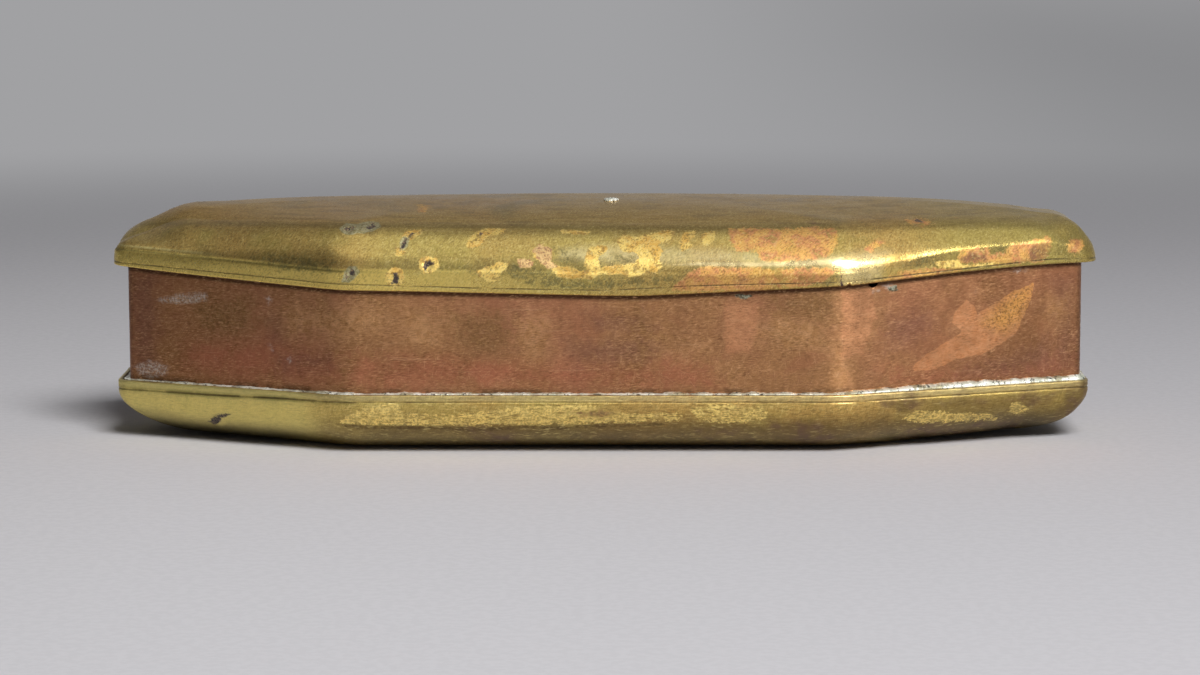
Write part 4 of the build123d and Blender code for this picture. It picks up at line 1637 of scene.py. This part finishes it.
def make_floor():
    """A wide disc of pale paper, a little darker away from the object as a painted pool of light; far off it
    glows in painted backdrop tones.
    """
    worked = bmesh.new()
    bmesh.ops.create_circle(worked, cap_ends=True, segments=floor_sides, radius=floor_radius)
    mesh = bpy.data.meshes.new("paper_floor")
    worked.to_mesh(mesh)
    worked.free()
    n = Nodes(bpy.data.materials.new("paper"))
    away = n.add("ShaderNodeVectorMath", {0: n.place, 1: floor_centre}, operation="DISTANCE").outputs["Value"]
    grain = n.noise(700, 3, 0.6)
    path = n.add("ShaderNodeLightPath").outputs
    # Painted pool of light round the object, with painted shade to the right
    n.colour = n.layered(
        rgb(228, 226, 229),
        (away, 0.08, 0.5, 0.0, 1.0, rgb(204, 203, 207)),
        (n.parts["X"], -0.08, 0.14, 0.0, 0.6, rgb(209, 207, 211)),
        (grain, 0.4, 0.6, 0.0, 0.05, rgb(120, 120, 120)),
    )
    # Painted shade to the left, seen only in reflections on the metal
    n.cover(n.times(path["Is Glossy Ray"], n.across("X", -280, -110, 1.0, 0.0)), rgb(96, 96, 98))
    # Far off, painted backdrop tones that glow: darker at the back right, paler in reflections
    shaded = n.times(n.across("X", -20, 280), n.across("Y", 150, 500), n.across("Y", 1000, 2400, 1.0, 0.6))
    far_tone = n.mix(shaded, rgb(161, 161, 163), rgb(139, 139, 141))
    far_tone = n.mix(path["Is Glossy Ray"], far_tone, rgb(182, 185, 194))
    looked_at = n.most(path["Is Camera Ray"], path["Is Glossy Ray"])
    amount = n.times(looked_at, n.steps(away, 0.24, 0.6))
    near = n.add("ShaderNodeBsdfDiffuse", {"Color": n.colour, "Normal": n.bumps((grain, 0.05, 0.2))})
    far = n.add("ShaderNodeEmission", {"Color": far_tone})
    both = n.add("ShaderNodeMixShader", {0: amount, 1: near.outputs[0], 2: far.outputs[0]})
    n.add("ShaderNodeOutputMaterial", {"Surface": both.outputs[0]})
    mesh.materials.append(n.owner)
    return new_object("paper_floor", mesh)


make_floor()


# Light

def soft_light(name, place, towards, size, watts, for_metal=True):
    """A rectangular lamp, for metal alone or for paper alone."""
    lamp = bpy.data.lights.new(name, "AREA")
    lamp.shape = "RECTANGLE"
    lamp.size, lamp.size_y = size
    lamp.energy = watts
    lit = new_object(name, lamp)
    lit.location = place
    heading = np.array(towards) - np.array(place)
    from_above = math.atan2(math.hypot(heading[0], heading[1]), -heading[2])
    lit.rotation_euler = (from_above, 0, math.atan2(-heading[0], heading[1]))
    lit.visible_glossy = for_metal
    lit.visible_diffuse = not for_metal


soft_light("above_paper", (0.27, -0.72, 0.76), (0.0, 0.0, 0.0), (0.46, 0.40), 9.8, for_metal=False)
soft_light("overhead", (0.08, -0.30, 0.95), (0.0, -0.05, 0.0), (1.6, 1.15), 2.8)
soft_light("right_front", (0.50, -0.75, 0.40), (0.02, 0.0, 0.03), (0.30, 0.25), 7.6)

# The room is dimmer to the left of the camera than to its right, and lights paper less than metal
world = bpy.data.worlds.new("studio")
bpy.context.scene.world = world
n = Nodes(world)
around = n.add("ShaderNodeTexCoord").outputs["Generated"]
side = n.add("ShaderNodeVectorMath", {0: around, 1: (0.85, -0.1, 0.1)}, operation="DOT_PRODUCT")
shift = n.add("ShaderNodeMapRange", {"Value": side.outputs["Value"], "From Min": -0.8, "From Max": 0.8})
level = n.add("ShaderNodeValToRGB", {"Fac": shift.outputs["Result"]})
for point, place, tone in zip(level.color_ramp.elements, (0.0, 0.55), (rgb(92, 92, 94), rgb(166, 166, 168))):
    point.position = place
    point.color = tone
on_paper = n.add("ShaderNodeLightPath").outputs["Is Diffuse Ray"]
strength = n.add("ShaderNodeMapRange", {"Value": on_paper, "To Min": 1.0, "To Max": 0.23})
inputs = {"Color": level.outputs["Color"], "Strength": strength.outputs["Result"]}
background = n.add("ShaderNodeBackground", inputs)
n.add("ShaderNodeOutputWorld", {"Surface": background.outputs[0]})

# Camera
camera = bpy.data.cameras.new("camera")
camera.sensor_width = sensor_width
camera.lens = focal_px * sensor_width / photo_width
camera.shift_y = -object_lift_px / photo_width
camera.clip_start = 0.01
camera.clip_end = 20
camera_object = new_object("camera", camera)
camera_object.location = camera_place
camera_object.rotation_euler = (quarter - camera_elevation, 0, 0)
bpy.context.scene.camera = camera_object
bpy.context.scene.view_settings.view_transform = "Standard"

bpy.context.view_layer.update()
